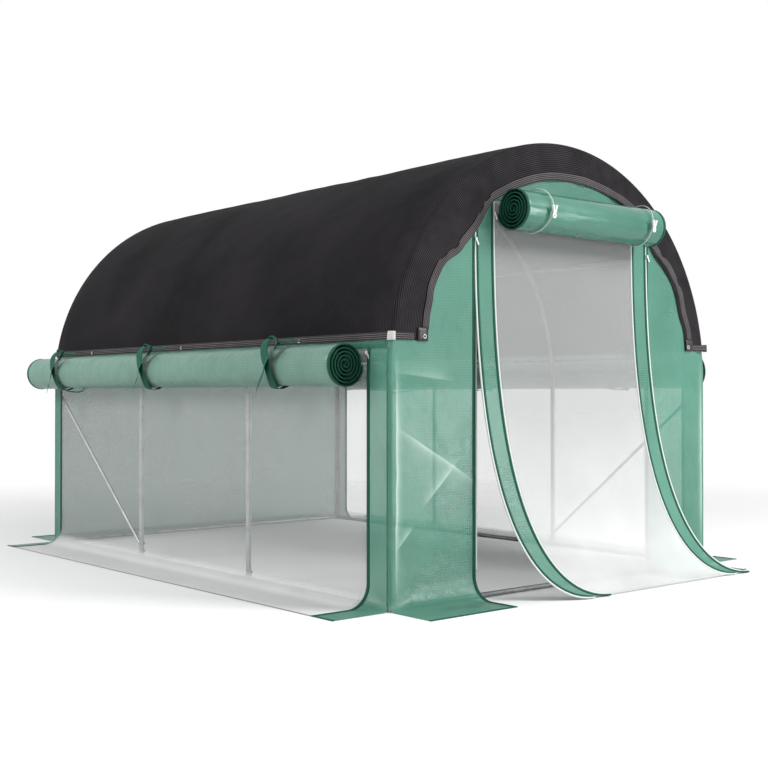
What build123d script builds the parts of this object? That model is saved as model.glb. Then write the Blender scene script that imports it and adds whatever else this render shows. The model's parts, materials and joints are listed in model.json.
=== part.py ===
"""Walk-in polytunnel greenhouse, about 3 m long, 2.1 m wide and 2 m tall.

Four galvanised tube hoops carry a reinforced green film. Both long sides have one full height
screened window whose film is rolled up and tied under the eaves. The front has a doorway whose
film door is rolled up over it, and an unzipped screen curtain that sweeps out onto the ground.
A knitted shade net with webbing hems lies over the roof and laps down over both ends.

Millimetres, +Z up, +Y from the front to the back, +X to the right seen from the front. The origin
is on the ground, at the middle of the tunnel.
"""

import os
from math import cos, radians, sin, sqrt

from build123d import *

# Sides of the tunnel, seen from its front
LEFT, RIGHT = -1, 1

# Main sizes of the tunnel
HOOP_RADIUS = 1045
SPRING_HEIGHT = 940
BAY = 1000
BAYS = 3

# Steel tubes
POST_D = 25
PURLIN_D = 19
RAIL_D = 22
BRACE_D = 16
TUBE_WALL = 1
SPIGOT_LENGTH = 30
SPIGOT_CLEARANCE = 0.6
# How far round the arch each purlin lies, from the right springing to the left one
PURLIN_SHARES = {"left": 0.8, "ridge": 0.5, "right": 0.2}
BRACE_DROP = 40
BRACE_FOOT = 70

# Sheets: film and screen, shade net and its webbing
SEAT = 0.3
FILM = 2
SHADE = 2
WEBBING = 1.2
BEND = 100
SIDE_REACH = 285
PANEL_REACH = 245

# Side windows
FRONT_STRIP = 138
BACK_STRIP = 100
WINDOW_RISE = 112

# Doorway and the screen curtain that hangs in it
PANEL_WIDTH = 465
GABLE_DEPTH = 285
ZIP_GAP = 5
BORDER_WIDTH = 102
CURTAIN_STRAIGHT = 1150
CURTAIN_BEND_HEIGHT = 300
CURTAIN_SWEEP = 260
CURTAIN_TURN = 100
CURTAIN_SHIFT = 400
CURTAIN_REACH = 310

# Rolled-up films
ROLL_R = 95
ROLL_SHEET = 4
ROLL_PITCH = 13
ROLL_HALF_TURNS = 13
SIDE_ROLL_DROP = 67
# How far each side roll starts behind the front hoop
SIDE_ROLL_FRONT_GAPS = {LEFT: 150, RIGHT: 100}
DOOR_ROLL_REACH = 8
DOOR_ROLL_OFFSET = 30
DOOR_ROLL_DROP = 45
DOOR_ROLL_LAP = 6

# Ties of the rolls
TIE_WIDTH = 28
TIE_THICKNESS = 1.5
# Along the tunnel from its middle, as shares of half its length
TIE_PLACE_SHARES = (-0.627, 0.093, 0.747)
CORD_D = 5
CORD_GAP_ANGLE = 28
# Along the door roll from its middle, as shares of half its length
CORD_PLACE_SHARES = (-0.725, 0.807)
TOGGLE_LENGTH = 34
TOGGLE_D = 18
TOGGLE_ANGLE = 20

# Shade net
SHADE_HEM_RISE = 33
FLAP_DEPTH = 150
HEM_WIDTH = 32
SIDE_HEM_WIDTH = 30
# How deep the flap is at its lower corners, as shares of FLAP_DEPTH
FLAP_CORNER_SHARES = {LEFT: 1.36, RIGHT: 1.12}
# Angle round the arch from the right springing, and the flap's depth there as a share of FLAP_DEPTH
FLAP_EDGE_SHARES = (
    (15, 1.01),
    (20, 1.07),
    (28, 0.99),
    (36, 1.07),
    (42, 1.20),
    (47, 1.19),
    (57, 0.93),
    (69, 1.01),
    (80, 1.08),
    (90, 1.12),
    (100, 1.13),
    (110, 1.15),
    (117, 1.15),
    (122, 1.14),
    (126, 1.22),
    (131, 1.40),
    (138, 1.43),
    (143, 1.36),
    (148, 1.14),
    (154, 1.08),
    (162, 1.17),
    (168, 1.25),
)
EYELET_BORE_R = 5
EYELET_RIM_R = 11
EYELET_BARREL_R = 7
EYELET_RIM = 1
EYELET_INSET = 17

# Worked out from the sizes above
HALF_LENGTH = BAY * BAYS / 2
POST_R = POST_D / 2
WINDOW_HEAD = SPRING_HEIGHT + WINDOW_RISE
SIDE_ROLL_HEIGHT = WINDOW_HEAD - SIDE_ROLL_DROP
SHADE_HEM_HEIGHT = WINDOW_HEAD + SHADE_HEM_RISE
FILM_IN = HOOP_RADIUS + POST_R + SEAT
FILM_OUT = FILM_IN + FILM
END_IN = HALF_LENGTH + POST_R + SEAT
END_OUT = END_IN + FILM
SHADE_IN = FILM_OUT + SEAT
SHADE_OUT = SHADE_IN + SHADE
SHADE_END_IN = END_OUT + SEAT
SHADE_END_OUT = SHADE_END_IN + SHADE
PANEL_EDGE = FILM_IN - SEAT
JAMB = HOOP_RADIUS - PANEL_WIDTH
DOORWAY_TOP = SPRING_HEIGHT + HOOP_RADIUS - GABLE_DEPTH
DOOR_ROLL_HEIGHT = DOORWAY_TOP - DOOR_ROLL_DROP
# The door roll ends just past where a flap of plain depth would meet the top of the roll's lap
FLAP_RISE = DOORWAY_TOP + DOOR_ROLL_LAP - SPRING_HEIGHT
DOOR_ROLL_HALF = sqrt((SHADE_OUT - FLAP_DEPTH) ** 2 - FLAP_RISE**2) + DOOR_ROLL_REACH - DOOR_ROLL_OFFSET
TUNNEL_TOP = SPRING_HEIGHT + SHADE_OUT
HOOP_NAMES = ("front", "second", "third", "back")
HOOP_PLACES = [BAY * i - HALF_LENGTH for i in range(BAYS + 1)]

os.makedirs("parts", exist_ok=True)


def save(name, *solids):
    """Write the solids of one node to its file."""
    shape = solids[0] if len(solids) == 1 else Compound(children=list(solids))
    export_step(shape, f"parts/{name}.step")


def arch_point(radius, angle):
    """The point of an arch of that radius, at an angle from the right eave, as (across, up)."""
    return radius * cos(radians(angle)), SPRING_HEIGHT + radius * sin(radians(angle))


def along_length(section, start, end):
    """A section drawn across the tunnel, made into a solid that runs from start to end."""
    return Pos(0, end, 0) * extrude(section, end - start)


def on_side(solid, side):
    """A solid made for the right side, placed on the side asked for."""
    return solid if side == RIGHT else mirror(solid, about=Plane.YZ)


def on_front(solid):
    """A solid made for the right side, turned to face forwards: its length then runs left to right."""
    return Rot(0, 0, -90) * solid


def on_back(solid):
    """A solid made for the right side, turned to face backwards."""
    return Rot(0, 0, 90) * solid


def straight_tube(start, end, diameter):
    """A hollow tube between two points."""
    path = Line(start, end)
    plane = Plane(origin=start, z_dir=path % 0)
    ring = plane * (Circle(diameter / 2) - Circle(diameter / 2 - TUBE_WALL))
    return extrude(ring, path.length)


def post(side, place):
    """An upright, with its top swaged down to plug into the end of the arch."""
    foot = Vector(side * HOOP_RADIUS, place, 0)
    top = foot + Vector(0, 0, SPRING_HEIGHT)
    tube = straight_tube(foot, top, POST_D)
    spigot_d = POST_D - 2 * TUBE_WALL - 2 * SPIGOT_CLEARANCE
    neck = Pos(top) * extrude(Circle(POST_R - TUBE_WALL / 2) - Circle(spigot_d / 2 - TUBE_WALL), -TUBE_WALL)
    spigot = straight_tube(top - Vector(0, 0, TUBE_WALL), top + Vector(0, 0, SPIGOT_LENGTH), spigot_d)
    foot_plug = Pos(foot) * extrude(Circle(POST_R - TUBE_WALL / 2), TUBE_WALL)
    return tube + neck + spigot + foot_plug


def arch(place):
    """The half round tube of a hoop, open at both ends for the posts' spigots."""
    ends = [(across, place, up) for across, up in (arch_point(HOOP_RADIUS, a) for a in (0, 180))]
    crown = (0, place, SPRING_HEIGHT + HOOP_RADIUS)
    path = ThreePointArc(ends[0], crown, ends[1])
    start = Plane(origin=path @ 0, z_dir=path % 0)
    return sweep(start * (Circle(POST_R) - Circle(POST_R - TUBE_WALL)), path=path)


def hoop_seats():
    """Solid rods a seat larger than the hoops, for cutting the tubes that butt against them."""
    seats = []
    for place in HOOP_PLACES:
        for side in (LEFT, RIGHT):
            foot = Pos(side * HOOP_RADIUS, place, 0)
            seats.append(foot * extrude(Circle(POST_R + SEAT), SPRING_HEIGHT))
        ends = [(across, place, up) for across, up in (arch_point(HOOP_RADIUS, a) for a in (0, 180))]
        path = ThreePointArc(ends[0], (0, place, SPRING_HEIGHT + HOOP_RADIUS), ends[1])
        seats.append(sweep(Plane(origin=path @ 0, z_dir=path % 0) * Circle(POST_R + SEAT), path=path))
    return seats


def between_hoops(tube, seats):
    """The lengths of a tube that are left between the hoops that it butts against."""
    return sorted((tube - seats).solids(), key=lambda s: s.center().Y + s.center().X)


def longest_of(pieces):
    return max(pieces, key=lambda s: s.volume)


def frame():
    """Posts, arches, purlins, base rails and the two diagonal braces."""
    seats = hoop_seats()
    for name, place in zip(HOOP_NAMES, HOOP_PLACES):
        save(f"{name}_left_post", post(LEFT, place))
        save(f"{name}_right_post", post(RIGHT, place))
        save(f"{name}_arch", arch(place))
    for name, share in PURLIN_SHARES.items():
        across, up = arch_point(HOOP_RADIUS, 180 * share)
        tube = straight_tube((across, -HALF_LENGTH, up), (across, HALF_LENGTH, up), PURLIN_D)
        save(f"{name}_purlin", *between_hoops(tube, seats))
    rail_up = RAIL_D / 2
    for name, side in (("left", LEFT), ("right", RIGHT)):
        ends = [(side * HOOP_RADIUS, y, rail_up) for y in (-HALF_LENGTH, HALF_LENGTH)]
        save(f"{name}_base_rail", *between_hoops(straight_tube(*ends, RAIL_D), seats))
    end_rail = HOOP_RADIUS - POST_R - SEAT
    for name, place in (("front", -HALF_LENGTH), ("back", HALF_LENGTH)):
        save(f"{name}_base_rail", straight_tube((-end_rail, place, rail_up), (end_rail, place, rail_up), RAIL_D))
    for name, side, outer, inner in (("left", LEFT, 3, 2), ("right", RIGHT, 0, 1)):
        top = (side * HOOP_RADIUS, HOOP_PLACES[outer], SPRING_HEIGHT - BRACE_DROP)
        foot = (side * HOOP_RADIUS, HOOP_PLACES[inner], BRACE_FOOT)
        save(f"{name}_brace", longest_of(between_hoops(straight_tube(top, foot, BRACE_D), seats)))


def curtain_section(inner, top, reach, head_angle=0):
    """Section of a hanging sheet: a wall that bends out at its foot into a skirt on the ground.

    A head angle carries the top on round the arch, past the springing.
    """
    outer, bend_up = inner + FILM, FILM + BEND
    with BuildSketch(Plane.XZ) as section:
        with BuildLine():
            inner_foot = Line((inner, top), (inner, bend_up))
            under_bend = RadiusArc(inner_foot @ 1, (outer + BEND, 0), -(BEND + FILM))
            under = Line(under_bend @ 1, (inner + reach, 0))
            lip = Line(under @ 1, (inner + reach, FILM))
            over = Line(lip @ 1, (outer + BEND, FILM))
            over_bend = RadiusArc(over @ 1, (outer, bend_up), BEND)
            outer_wall = Line(over_bend @ 1, (outer, top))
            if head_angle:
                outer_head = RadiusArc(outer_wall @ 1, arch_point(outer, head_angle), -outer)
                head = Line(outer_head @ 1, arch_point(inner, head_angle))
                RadiusArc(head @ 1, (inner, top), inner)
            else:
                Line(outer_wall @ 1, (inner, top))
        make_face()
    return section.sketch


def arch_region(radius):
    """What lies under an arch of that radius, all along the tunnel and past its ends."""
    reach = END_OUT + max(SIDE_REACH, PANEL_REACH, CURTAIN_REACH)
    disc = Pos(0, SPRING_HEIGHT) * Circle(radius)
    below = Pos(0, SPRING_HEIGHT / 2) * Rectangle(2 * radius, SPRING_HEIGHT)
    return along_length(Plane.XZ * (disc + below), -reach, reach)


def window_head_angle():
    """The angle round the arch at which the side windows end."""
    rise = WINDOW_HEAD - SPRING_HEIGHT
    return Vector(sqrt(FILM_OUT**2 - rise**2), rise).get_angle(Vector(1, 0))


def cover():
    """The film: a roof between the window heads, corner strips, end walls and the window screens."""
    head = window_head_angle()
    ring = Pos(0, SPRING_HEIGHT) * (Circle(FILM_OUT) - Circle(FILM_IN))
    head_up = arch_point(FILM_OUT, head)[1] + SEAT
    above = Pos(0, head_up + FILM_OUT / 2) * Rectangle(2 * FILM_OUT, FILM_OUT)
    save("roof_cover", along_length(Plane.XZ * (ring & above), -END_OUT, END_OUT))

    side = curtain_section(FILM_IN, SPRING_HEIGHT, SIDE_REACH, head)
    window_front, window_back = FRONT_STRIP - END_OUT, END_OUT - BACK_STRIP
    spans = {
        "front_corner_strip": (-END_OUT, window_front),
        "window_screen": (window_front + SEAT, window_back - SEAT),
        "back_corner_strip": (window_back, END_OUT),
    }
    for name, ends in spans.items():
        for hand, where in (("left", LEFT), ("right", RIGHT)):
            save(f"{hand}_{name}", on_side(along_length(side, *ends), where))

    under_roof = arch_region(PANEL_EDGE)
    panel = curtain_section(END_IN, TUNNEL_TOP, PANEL_REACH)
    wall = curtain_section(END_IN, TUNNEL_TOP, CURTAIN_REACH)
    save("front_left_panel", on_front(along_length(panel, -PANEL_EDGE, -JAMB)) & under_roof)
    save("front_right_panel", on_front(along_length(panel, JAMB, PANEL_EDGE)) & under_roof)
    save("back_wall", on_back(along_length(wall, -PANEL_EDGE, PANEL_EDGE)) & under_roof)
    gable_height = TUNNEL_TOP - DOORWAY_TOP
    gable = Pos(0, -(END_IN + END_OUT) / 2, DOORWAY_TOP + gable_height / 2) * Box(
        2 * (JAMB - SEAT), FILM, gable_height
    )
    save("front_gable", gable & under_roof)


def curtain_line(across):
    """The hang of the door screen: straight down at first, then swept forwards and to the right."""
    top = Vector(across, -END_OUT, DOORWAY_TOP - SEAT)
    end = Vector(across + CURTAIN_SHIFT, -END_IN - CURTAIN_REACH, FILM)
    sweep_point = Vector(across + CURTAIN_TURN, -END_IN - CURTAIN_SWEEP, FILM)
    straight = top - Vector(0, 0, DOORWAY_TOP - CURTAIN_STRAIGHT)
    bend = top - Vector(0, 0, DOORWAY_TOP - CURTAIN_BEND_HEIGHT)
    return Bezier(top, straight, bend, sweep_point, end)


def door_curtain():
    """The screen that hangs in the doorway, between two film borders that carry its zips."""
    half = JAMB - ZIP_GAP
    spans = {
        "door_left_border": (-half, BORDER_WIDTH - half),
        "door_screen": (BORDER_WIDTH - half + SEAT, half - BORDER_WIDTH - SEAT),
        "door_right_border": (half - BORDER_WIDTH, half),
    }
    for name, (start, end) in spans.items():
        sheet = Face.extrude(curtain_line(start).edge(), Vector(end - start, 0, 0))
        save(name, Solid.thicken(sheet, FILM, normal_override=Vector(0, 1, 0)))


def roll_section(lap):
    """Spiral of a rolled sheet, wall side at -X, with a lap that runs up the wall from the last turn.

    The spiral is half circles whose ends lie on one line through its middle, so each turn grows by
    the pitch and every arc meets the next without a kink.
    """
    last = ROLL_R - ROLL_SHEET / 2
    half = ROLL_SHEET / 2
    middles = [last - (ROLL_HALF_TURNS - i) * ROLL_PITCH / 2 for i in range(ROLL_HALF_TURNS + 1)]
    hands = [1 if (ROLL_HALF_TURNS - i) % 2 else -1 for i in range(ROLL_HALF_TURNS + 1)]
    with BuildSketch() as section:
        with BuildLine():
            for offset in (half, -half):
                points = [(hand * (m + offset), 0) for hand, m in zip(hands, middles)]
                for a, b, hand in zip(points, points[1:], hands):
                    middle = ((a[0] + b[0]) / 2, -hand * abs(a[0] - b[0]) / 2)
                    ThreePointArc(a, middle, b)
            Line((hands[0] * (middles[0] - half), 0), (hands[0] * (middles[0] + half), 0))
            outer, inner = -(last + half), -(last - half)
            Polyline((outer, 0), (outer, lap), (inner, lap), (inner, 0))
        make_face()
    return section.sketch


def side_roll_centre():
    """Where the axis of a side roll lies, so that it rests against the film, as (across, up)."""
    rise = SIDE_ROLL_HEIGHT - SPRING_HEIGHT
    reach = FILM_OUT + SEAT + ROLL_R
    return sqrt(reach**2 - rise**2), SIDE_ROLL_HEIGHT


def rolls():
    """The rolled-up window films and door film, with their ties, cords and toggles."""
    across, up = side_roll_centre()
    lean = Vector(across, up - SPRING_HEIGHT).get_angle(Vector(1, 0))
    head_up = WINDOW_HEAD - SIDE_ROLL_HEIGHT
    section = Plane.XZ * (Pos(across, up) * Rot(0, 0, lean) * roll_section(head_up))
    against_film = Plane.XZ * (Pos(0, SPRING_HEIGHT) * Circle(FILM_OUT + SEAT))
    tie_in, tie_out = ROLL_R + SEAT, ROLL_R + SEAT + TIE_THICKNESS
    ring = Plane.XZ * (Pos(across, up) * (Circle(tie_out) - Circle(tie_in)))
    lap_room = Plane.XZ * (Pos(0, SPRING_HEIGHT) * Circle(FILM_OUT + ROLL_SHEET + 3 * SEAT))
    for hand, side in (("left", LEFT), ("right", RIGHT)):
        start, end = SIDE_ROLL_FRONT_GAPS[side] - HALF_LENGTH, HALF_LENGTH
        room = along_length(against_film, start, end)
        roll = longest_of((along_length(section, start, end) - room).solids())
        save(f"{hand}_window_roll", on_side(roll, side))
        ties = []
        for share in TIE_PLACE_SHARES:
            place = share * HALF_LENGTH
            ends = (place - TIE_WIDTH / 2, place + TIE_WIDTH / 2)
            tie = along_length(ring, *ends) - along_length(lap_room, *ends)
            ties.append(on_side(longest_of(tie.solids()), side))
        save(f"{hand}_roll_ties", *ties)

    reach = END_OUT + SEAT + ROLL_R
    lap = DOORWAY_TOP + DOOR_ROLL_LAP - DOOR_ROLL_HEIGHT
    section = Plane.XZ * (Pos(reach, DOOR_ROLL_HEIGHT) * roll_section(lap))
    ends = (DOOR_ROLL_OFFSET - DOOR_ROLL_HALF, DOOR_ROLL_OFFSET + DOOR_ROLL_HALF)
    save("door_roll", on_front(along_length(section, *ends)))
    cords, toggles = [], []
    cord_radius = ROLL_R + SEAT + CORD_D / 2
    for share in CORD_PLACE_SHARES:
        place = DOOR_ROLL_OFFSET + share * DOOR_ROLL_HALF
        axis = Plane(origin=(place, -reach, DOOR_ROLL_HEIGHT), x_dir=(0, -1, 0), z_dir=(1, 0, 0))
        path = axis * CenterArc((0, 0), cord_radius, CORD_GAP_ANGLE - 180, 360 - 2 * CORD_GAP_ANGLE)
        cords.append(sweep(Plane(origin=path @ 0, z_dir=path % 0) * Circle(CORD_D / 2), path=path))
        out = cord_radius + CORD_D / 2 + SEAT + TOGGLE_D / 2
        spot = axis * Pos(out * cos(radians(TOGGLE_ANGLE)), out * sin(radians(TOGGLE_ANGLE)), 0)
        toggles.append(spot * Rot(90, TOGGLE_ANGLE, 0) * Cylinder(TOGGLE_D / 2, TOGGLE_LENGTH))
    save("door_roll_cords", *cords)
    save("door_cord_toggles", *toggles)


def flap_corner(side, inset):
    """The lower corner of an end flap's edge, moved out by an inset, as (across, up)."""
    depth = FLAP_CORNER_SHARES[side] * FLAP_DEPTH
    return side * (SHADE_OUT - depth + inset), SHADE_HEM_HEIGHT


def flap_region(inset):
    """The open middle of an end flap, inside its scalloped edge, drawn across the tunnel."""
    bows = [arch_point(SHADE_OUT - share * FLAP_DEPTH + inset, angle) for angle, share in FLAP_EDGE_SHARES]
    right, left = flap_corner(RIGHT, inset), flap_corner(LEFT, inset)
    with BuildSketch() as region:
        with BuildLine():
            Spline(right, *bows, left)
            Polyline(left, (left[0], 0), (right[0], 0), right)
        make_face()
    return region.sketch


def eyelet():
    """A pressed brass eyelet: a washer on the hem and a barrel through hem and net, facing -Y."""
    through = WEBBING + SHADE
    barrel = Circle(EYELET_BARREL_R) - Circle(EYELET_BORE_R)
    rim = Circle(EYELET_RIM_R) - Circle(EYELET_BORE_R)
    return extrude(Plane.XZ * rim, EYELET_RIM) + extrude(Plane.XZ * barrel, -through)


def shade():
    """The shade net over the roof, its end flaps, webbing hems and corner eyelets."""
    above_hem = Pos(0, SHADE_HEM_HEIGHT + SHADE_OUT / 2) * Rectangle(2 * SHADE_OUT, SHADE_OUT)
    disc = Pos(0, SPRING_HEIGHT) * Circle(SHADE_OUT)
    ring = disc - Pos(0, SPRING_HEIGHT) * Circle(SHADE_IN)
    skin = along_length(Plane.XZ * (ring & above_hem), -SHADE_END_OUT, SHADE_END_OUT)
    flap = Plane.XZ * ((disc & above_hem) - flap_region(0))
    front_flap = along_length(flap, -SHADE_END_OUT, -SHADE_END_IN)
    back_flap = along_length(flap, SHADE_END_IN, SHADE_END_OUT)
    hem_face = SHADE_END_OUT + WEBBING
    corners = [flap_corner(side, EYELET_INSET) for side in (LEFT, RIGHT)]
    spots = [(across, up + EYELET_INSET) for across, up in corners]
    holes = [Plane.XZ * (Pos(*spot) * Circle(EYELET_BARREL_R + SEAT)) for spot in spots]
    bores = [along_length(hole, -hem_face, hem_face) for hole in holes]
    save("shade_net", skin + front_flap + back_flap - bores)

    hem_band = Plane.XZ * ((flap_region(HEM_WIDTH) - flap_region(0)) & above_hem)
    front_hem = along_length(hem_band, -hem_face, -SHADE_END_OUT) - bores
    back_hem = along_length(hem_band, SHADE_END_OUT, hem_face) - bores
    save("shade_end_hems", front_hem, back_hem)
    rim_face = hem_face + SEAT
    front_eyelets = [Pos(across, -rim_face, up) * eyelet() for across, up in spots]
    back_eyelets = [Pos(across, rim_face, up) * Rot(0, 0, 180) * eyelet() for across, up in spots]
    save("shade_eyelets", *front_eyelets, *back_eyelets)
    hem_ring = Pos(0, SPRING_HEIGHT) * (Circle(SHADE_OUT + WEBBING) - Circle(SHADE_OUT))
    hem_up = SHADE_HEM_HEIGHT + SIDE_HEM_WIDTH / 2
    hem_height = Pos(0, hem_up) * Rectangle(3 * SHADE_OUT, SIDE_HEM_WIDTH)
    side_hems = along_length(Plane.XZ * (hem_ring & hem_height), -SHADE_END_OUT, SHADE_END_OUT)
    save("shade_side_hems", *side_hems.solids())


frame()
cover()
door_curtain()
rolls()
shade()
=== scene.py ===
"""Looks of a walk-in polytunnel greenhouse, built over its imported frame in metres.

Sections follow the tunnel as it is put up: steel hoops, film, screens, door curtain, rolled films
and their ties, shade net with its webbing, and last the floor, light and camera.
"""

import json
import math

import bmesh
import bpy
import numpy as np
from mathutils import Matrix, Vector, noise


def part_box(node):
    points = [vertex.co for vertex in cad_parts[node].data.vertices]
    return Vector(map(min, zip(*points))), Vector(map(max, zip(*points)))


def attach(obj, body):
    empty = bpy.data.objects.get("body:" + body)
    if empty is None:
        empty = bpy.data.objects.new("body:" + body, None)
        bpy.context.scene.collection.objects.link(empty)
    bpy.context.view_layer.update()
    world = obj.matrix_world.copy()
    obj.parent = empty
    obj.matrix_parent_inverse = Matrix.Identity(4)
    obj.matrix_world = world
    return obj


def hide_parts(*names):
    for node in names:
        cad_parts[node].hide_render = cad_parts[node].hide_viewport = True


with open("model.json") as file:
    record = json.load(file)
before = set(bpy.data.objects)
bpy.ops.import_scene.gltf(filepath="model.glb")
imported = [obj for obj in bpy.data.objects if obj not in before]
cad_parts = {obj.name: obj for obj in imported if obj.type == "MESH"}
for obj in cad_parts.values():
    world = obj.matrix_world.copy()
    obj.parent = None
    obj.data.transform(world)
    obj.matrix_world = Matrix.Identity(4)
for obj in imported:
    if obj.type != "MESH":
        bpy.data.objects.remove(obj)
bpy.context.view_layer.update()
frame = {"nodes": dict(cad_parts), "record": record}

scene = bpy.context.scene

# Steel frame
# Galvanised round tube: posts with swaged tops inside half round arches, purlins between the hoops,
# base rails and two diagonal braces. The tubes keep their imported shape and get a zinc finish.
ZINC_SPANGLE = 0.012
STEEL_NODES = [s["node"] for s in frame["record"]["subparts"] if s["material_slot"] == "galvanised_steel"]


def shade_of(red, green, blue):
    """A colour given on a 0 to 255 scale, as the light that it gives back."""
    parts = np.array((red, green, blue)) / 255
    return (*np.where(parts <= 0.04045, parts / 12.92, ((parts + 0.055) / 1.055) ** 2.4).tolist(), 1.0)


def feed(socket, value):
    """Set a socket to a value, or link it to another node's output."""
    if isinstance(value, bpy.types.NodeSocket):
        socket.id_data.links.new(value, socket)
    else:
        socket.default_value = value


def add_node(shader, kind, inputs, **settings):
    """A node beside that shader, with its settings and its inputs."""
    made = shader.id_data.nodes.new(kind)
    for key, value in settings.items():
        setattr(made, key, value)
    for key, value in inputs.items():
        feed(made.inputs[key], value)
    return made


def new_finish(name, colour, roughness, sockets=None):
    """A material with one shader, returned with that shader so that a pattern can be added."""
    made = bpy.data.materials.new(name)
    made.use_nodes = True
    shader = made.node_tree.nodes["Principled BSDF"]
    for socket, value in {"Base Color": colour, "Roughness": roughness, **(sockets or {})}.items():
        feed(shader.inputs[socket], value)
    return made, shader


def sums(shader, operation, first, second=0.0, third=0.0):
    """The output of one arithmetic node."""
    return add_node(shader, "ShaderNodeMath", {0: first, 1: second, 2: third}, operation=operation).outputs[0]


def in_range(shader, value, low, high):
    """A 0 to 1 value carried over to the range from low to high."""
    return sums(shader, "MULTIPLY_ADD", value, high - low, low)


def share_of(shader, value, low, high):
    """0 where a value is at low, 1 where it is at high, and held between them."""
    inputs = {"Value": value, "From Min": low, "From Max": high}
    return add_node(shader, "ShaderNodeMapRange", inputs).outputs["Result"]


def mixed(shader, share, first, second):
    """The colour that lies that share of the way from the first to the second."""
    node = add_node(shader, "ShaderNodeMix", {0: share, 6: first, 7: second}, data_type="RGBA")
    return node.outputs[2]


def dimmed(colour, share):
    """A colour with only that share of its light."""
    return (*(c * share for c in colour[:3]), 1.0)


def in_metres(shader):
    """Places on a piece in the tunnel's own metres."""
    return add_node(shader, "ShaderNodeTexCoord", {}).outputs["Object"]


def metres_along(shader, axis):
    """Places on a piece along the tunnel's X, Y or Z."""
    return add_node(shader, "ShaderNodeSeparateXYZ", {"Vector": in_metres(shader)}).outputs[axis]


def uneven(shader, places, waves_per_metre, detail=3.0):
    """Soft noise round a half."""
    inputs = {"Vector": places, "Scale": waves_per_metre, "Detail": detail}
    return add_node(shader, "ShaderNodeTexNoise", inputs).outputs["Fac"]


def cloudy(shader, places, waves_per_metre):
    """Soft patches from 0 to 1."""
    return share_of(shader, uneven(shader, places, waves_per_metre), 0.3, 0.7)


def raised(shader, height, strength, depth):
    """Bump from a height from 0 to 1 that stands that many metres deep."""
    node = add_node(shader, "ShaderNodeBump", {"Height": height, "Strength": strength, "Distance": depth})
    feed(shader.inputs["Normal"], node.outputs["Normal"])


def zinc_finish():
    """Bright and dull crystals of zinc, side by side."""
    made, shader = new_finish("zinc_plated_tube", shade_of(160, 163, 165), 0.38, {"Metallic": 0.9})
    places = in_metres(shader)
    cells = {"Vector": places, "Scale": 1 / ZINC_SPANGLE}
    spangle = add_node(shader, "ShaderNodeTexVoronoi", cells).outputs["Distance"]
    dulling = cloudy(shader, places, waves_per_metre=14.0)
    bright, dull = shade_of(168, 171, 173), shade_of(122, 125, 128)
    feed(shader.inputs["Base Color"], mixed(shader, sums(shader, "MULTIPLY", spangle, dulling), bright, dull))
    feed(shader.inputs["Roughness"], in_range(shader, dulling, 0.28, 0.5))
    raised(shader, spangle, strength=0.08, depth=0.0004)
    return made


zinc = zinc_finish()
for node in STEEL_NODES:
    tube = frame["nodes"][node]
    tube.data.materials.clear()
    tube.data.materials.append(zinc)

# Frame bolts
# Plated hexagon bolts with washers. They hold the purlins, base rails and braces to the hoops, and
# their heads are on the inside, where they can't wear through the film.
BOLT_HEAD_R = 0.0065
BOLT_HEAD = 0.005
BOLT_TOP_SHARE = 0.94
WASHER_R = 0.0095
WASHER = 0.0016
RAIL_BOLT_RISE = 0.045
SWAGE_BOLT_DROP = 0.022
BRACE_TOP_DROP = 0.06
BRACE_FOOT_RISE = 0.085
HOOPS = ("front", "second", "third", "back")
# The side of each brace, and the hoops at its top and its foot
BRACE_ENDS = ((-1, 3, 2), (1, 0, 1))

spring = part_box("front_arch")[0].z
post_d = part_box("front_left_post")[1].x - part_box("front_left_post")[0].x
hoop_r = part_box("front_arch")[1].z - spring - post_d / 2
hoop_in = hoop_r - post_d / 2
hoop_places = [sum(corner.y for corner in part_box(f"{hoop}_arch")) / 2 for hoop in HOOPS]


def joined_mesh(name, finish, build):
    """One object from a bmesh that the build function fills."""
    form = bmesh.new()
    build(form)
    bmesh.ops.recalc_face_normals(form, faces=form.faces)
    mesh = bpy.data.meshes.new(name)
    form.to_mesh(mesh)
    form.free()
    mesh.materials.append(finish)
    made = bpy.data.objects.new(name, mesh)
    scene.collection.objects.link(made)
    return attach(made, "root")


def add_drum(form, place, axis, bottom_r, top_r, length, sides):
    """A closed drum or cone that stands on a place along an axis."""
    turn = Vector(axis).to_track_quat("Z", "Y").to_matrix().to_4x4()
    middle = Vector(place) + Vector(axis).normalized() * (length / 2)
    bmesh.ops.create_cone(form, cap_ends=True, segments=sides, radius1=bottom_r, radius2=top_r, depth=length,
                          matrix=Matrix.Translation(middle) @ turn)


def add_bolt(form, place, axis):
    """A washer with a hexagon head on it."""
    seat = Vector(place) + Vector(axis).normalized() * WASHER
    add_drum(form, place, axis, WASHER_R, WASHER_R, WASHER, sides=24)
    add_drum(form, seat, axis, BOLT_HEAD_R, BOLT_HEAD_R * BOLT_TOP_SHARE, BOLT_HEAD, sides=6)


def frame_bolts(form):
    """Bolts where purlins, rails, arches and braces meet the hoops."""
    for place in hoop_places:
        for purlin in ("left_purlin", "ridge_purlin", "right_purlin"):
            low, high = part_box(purlin)
            out = Vector(((low.x + high.x) / 2, 0, (low.z + high.z) / 2 - spring)).normalized()
            add_bolt(form, (out.x * hoop_in, place, spring + out.z * hoop_in), -out)
        for side in (-1, 1):
            for up in (RAIL_BOLT_RISE, spring - SWAGE_BOLT_DROP):
                add_bolt(form, (side * hoop_in, place, up), (-side, 0, 0))
    for side, top, foot in BRACE_ENDS:
        add_bolt(form, (side * hoop_in, hoop_places[top], spring - BRACE_TOP_DROP), (-side, 0, 0))
        add_bolt(form, (side * hoop_in, hoop_places[foot], BRACE_FOOT_RISE), (-side, 0, 0))


joined_mesh("frame_bolts", zinc, frame_bolts)

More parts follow.
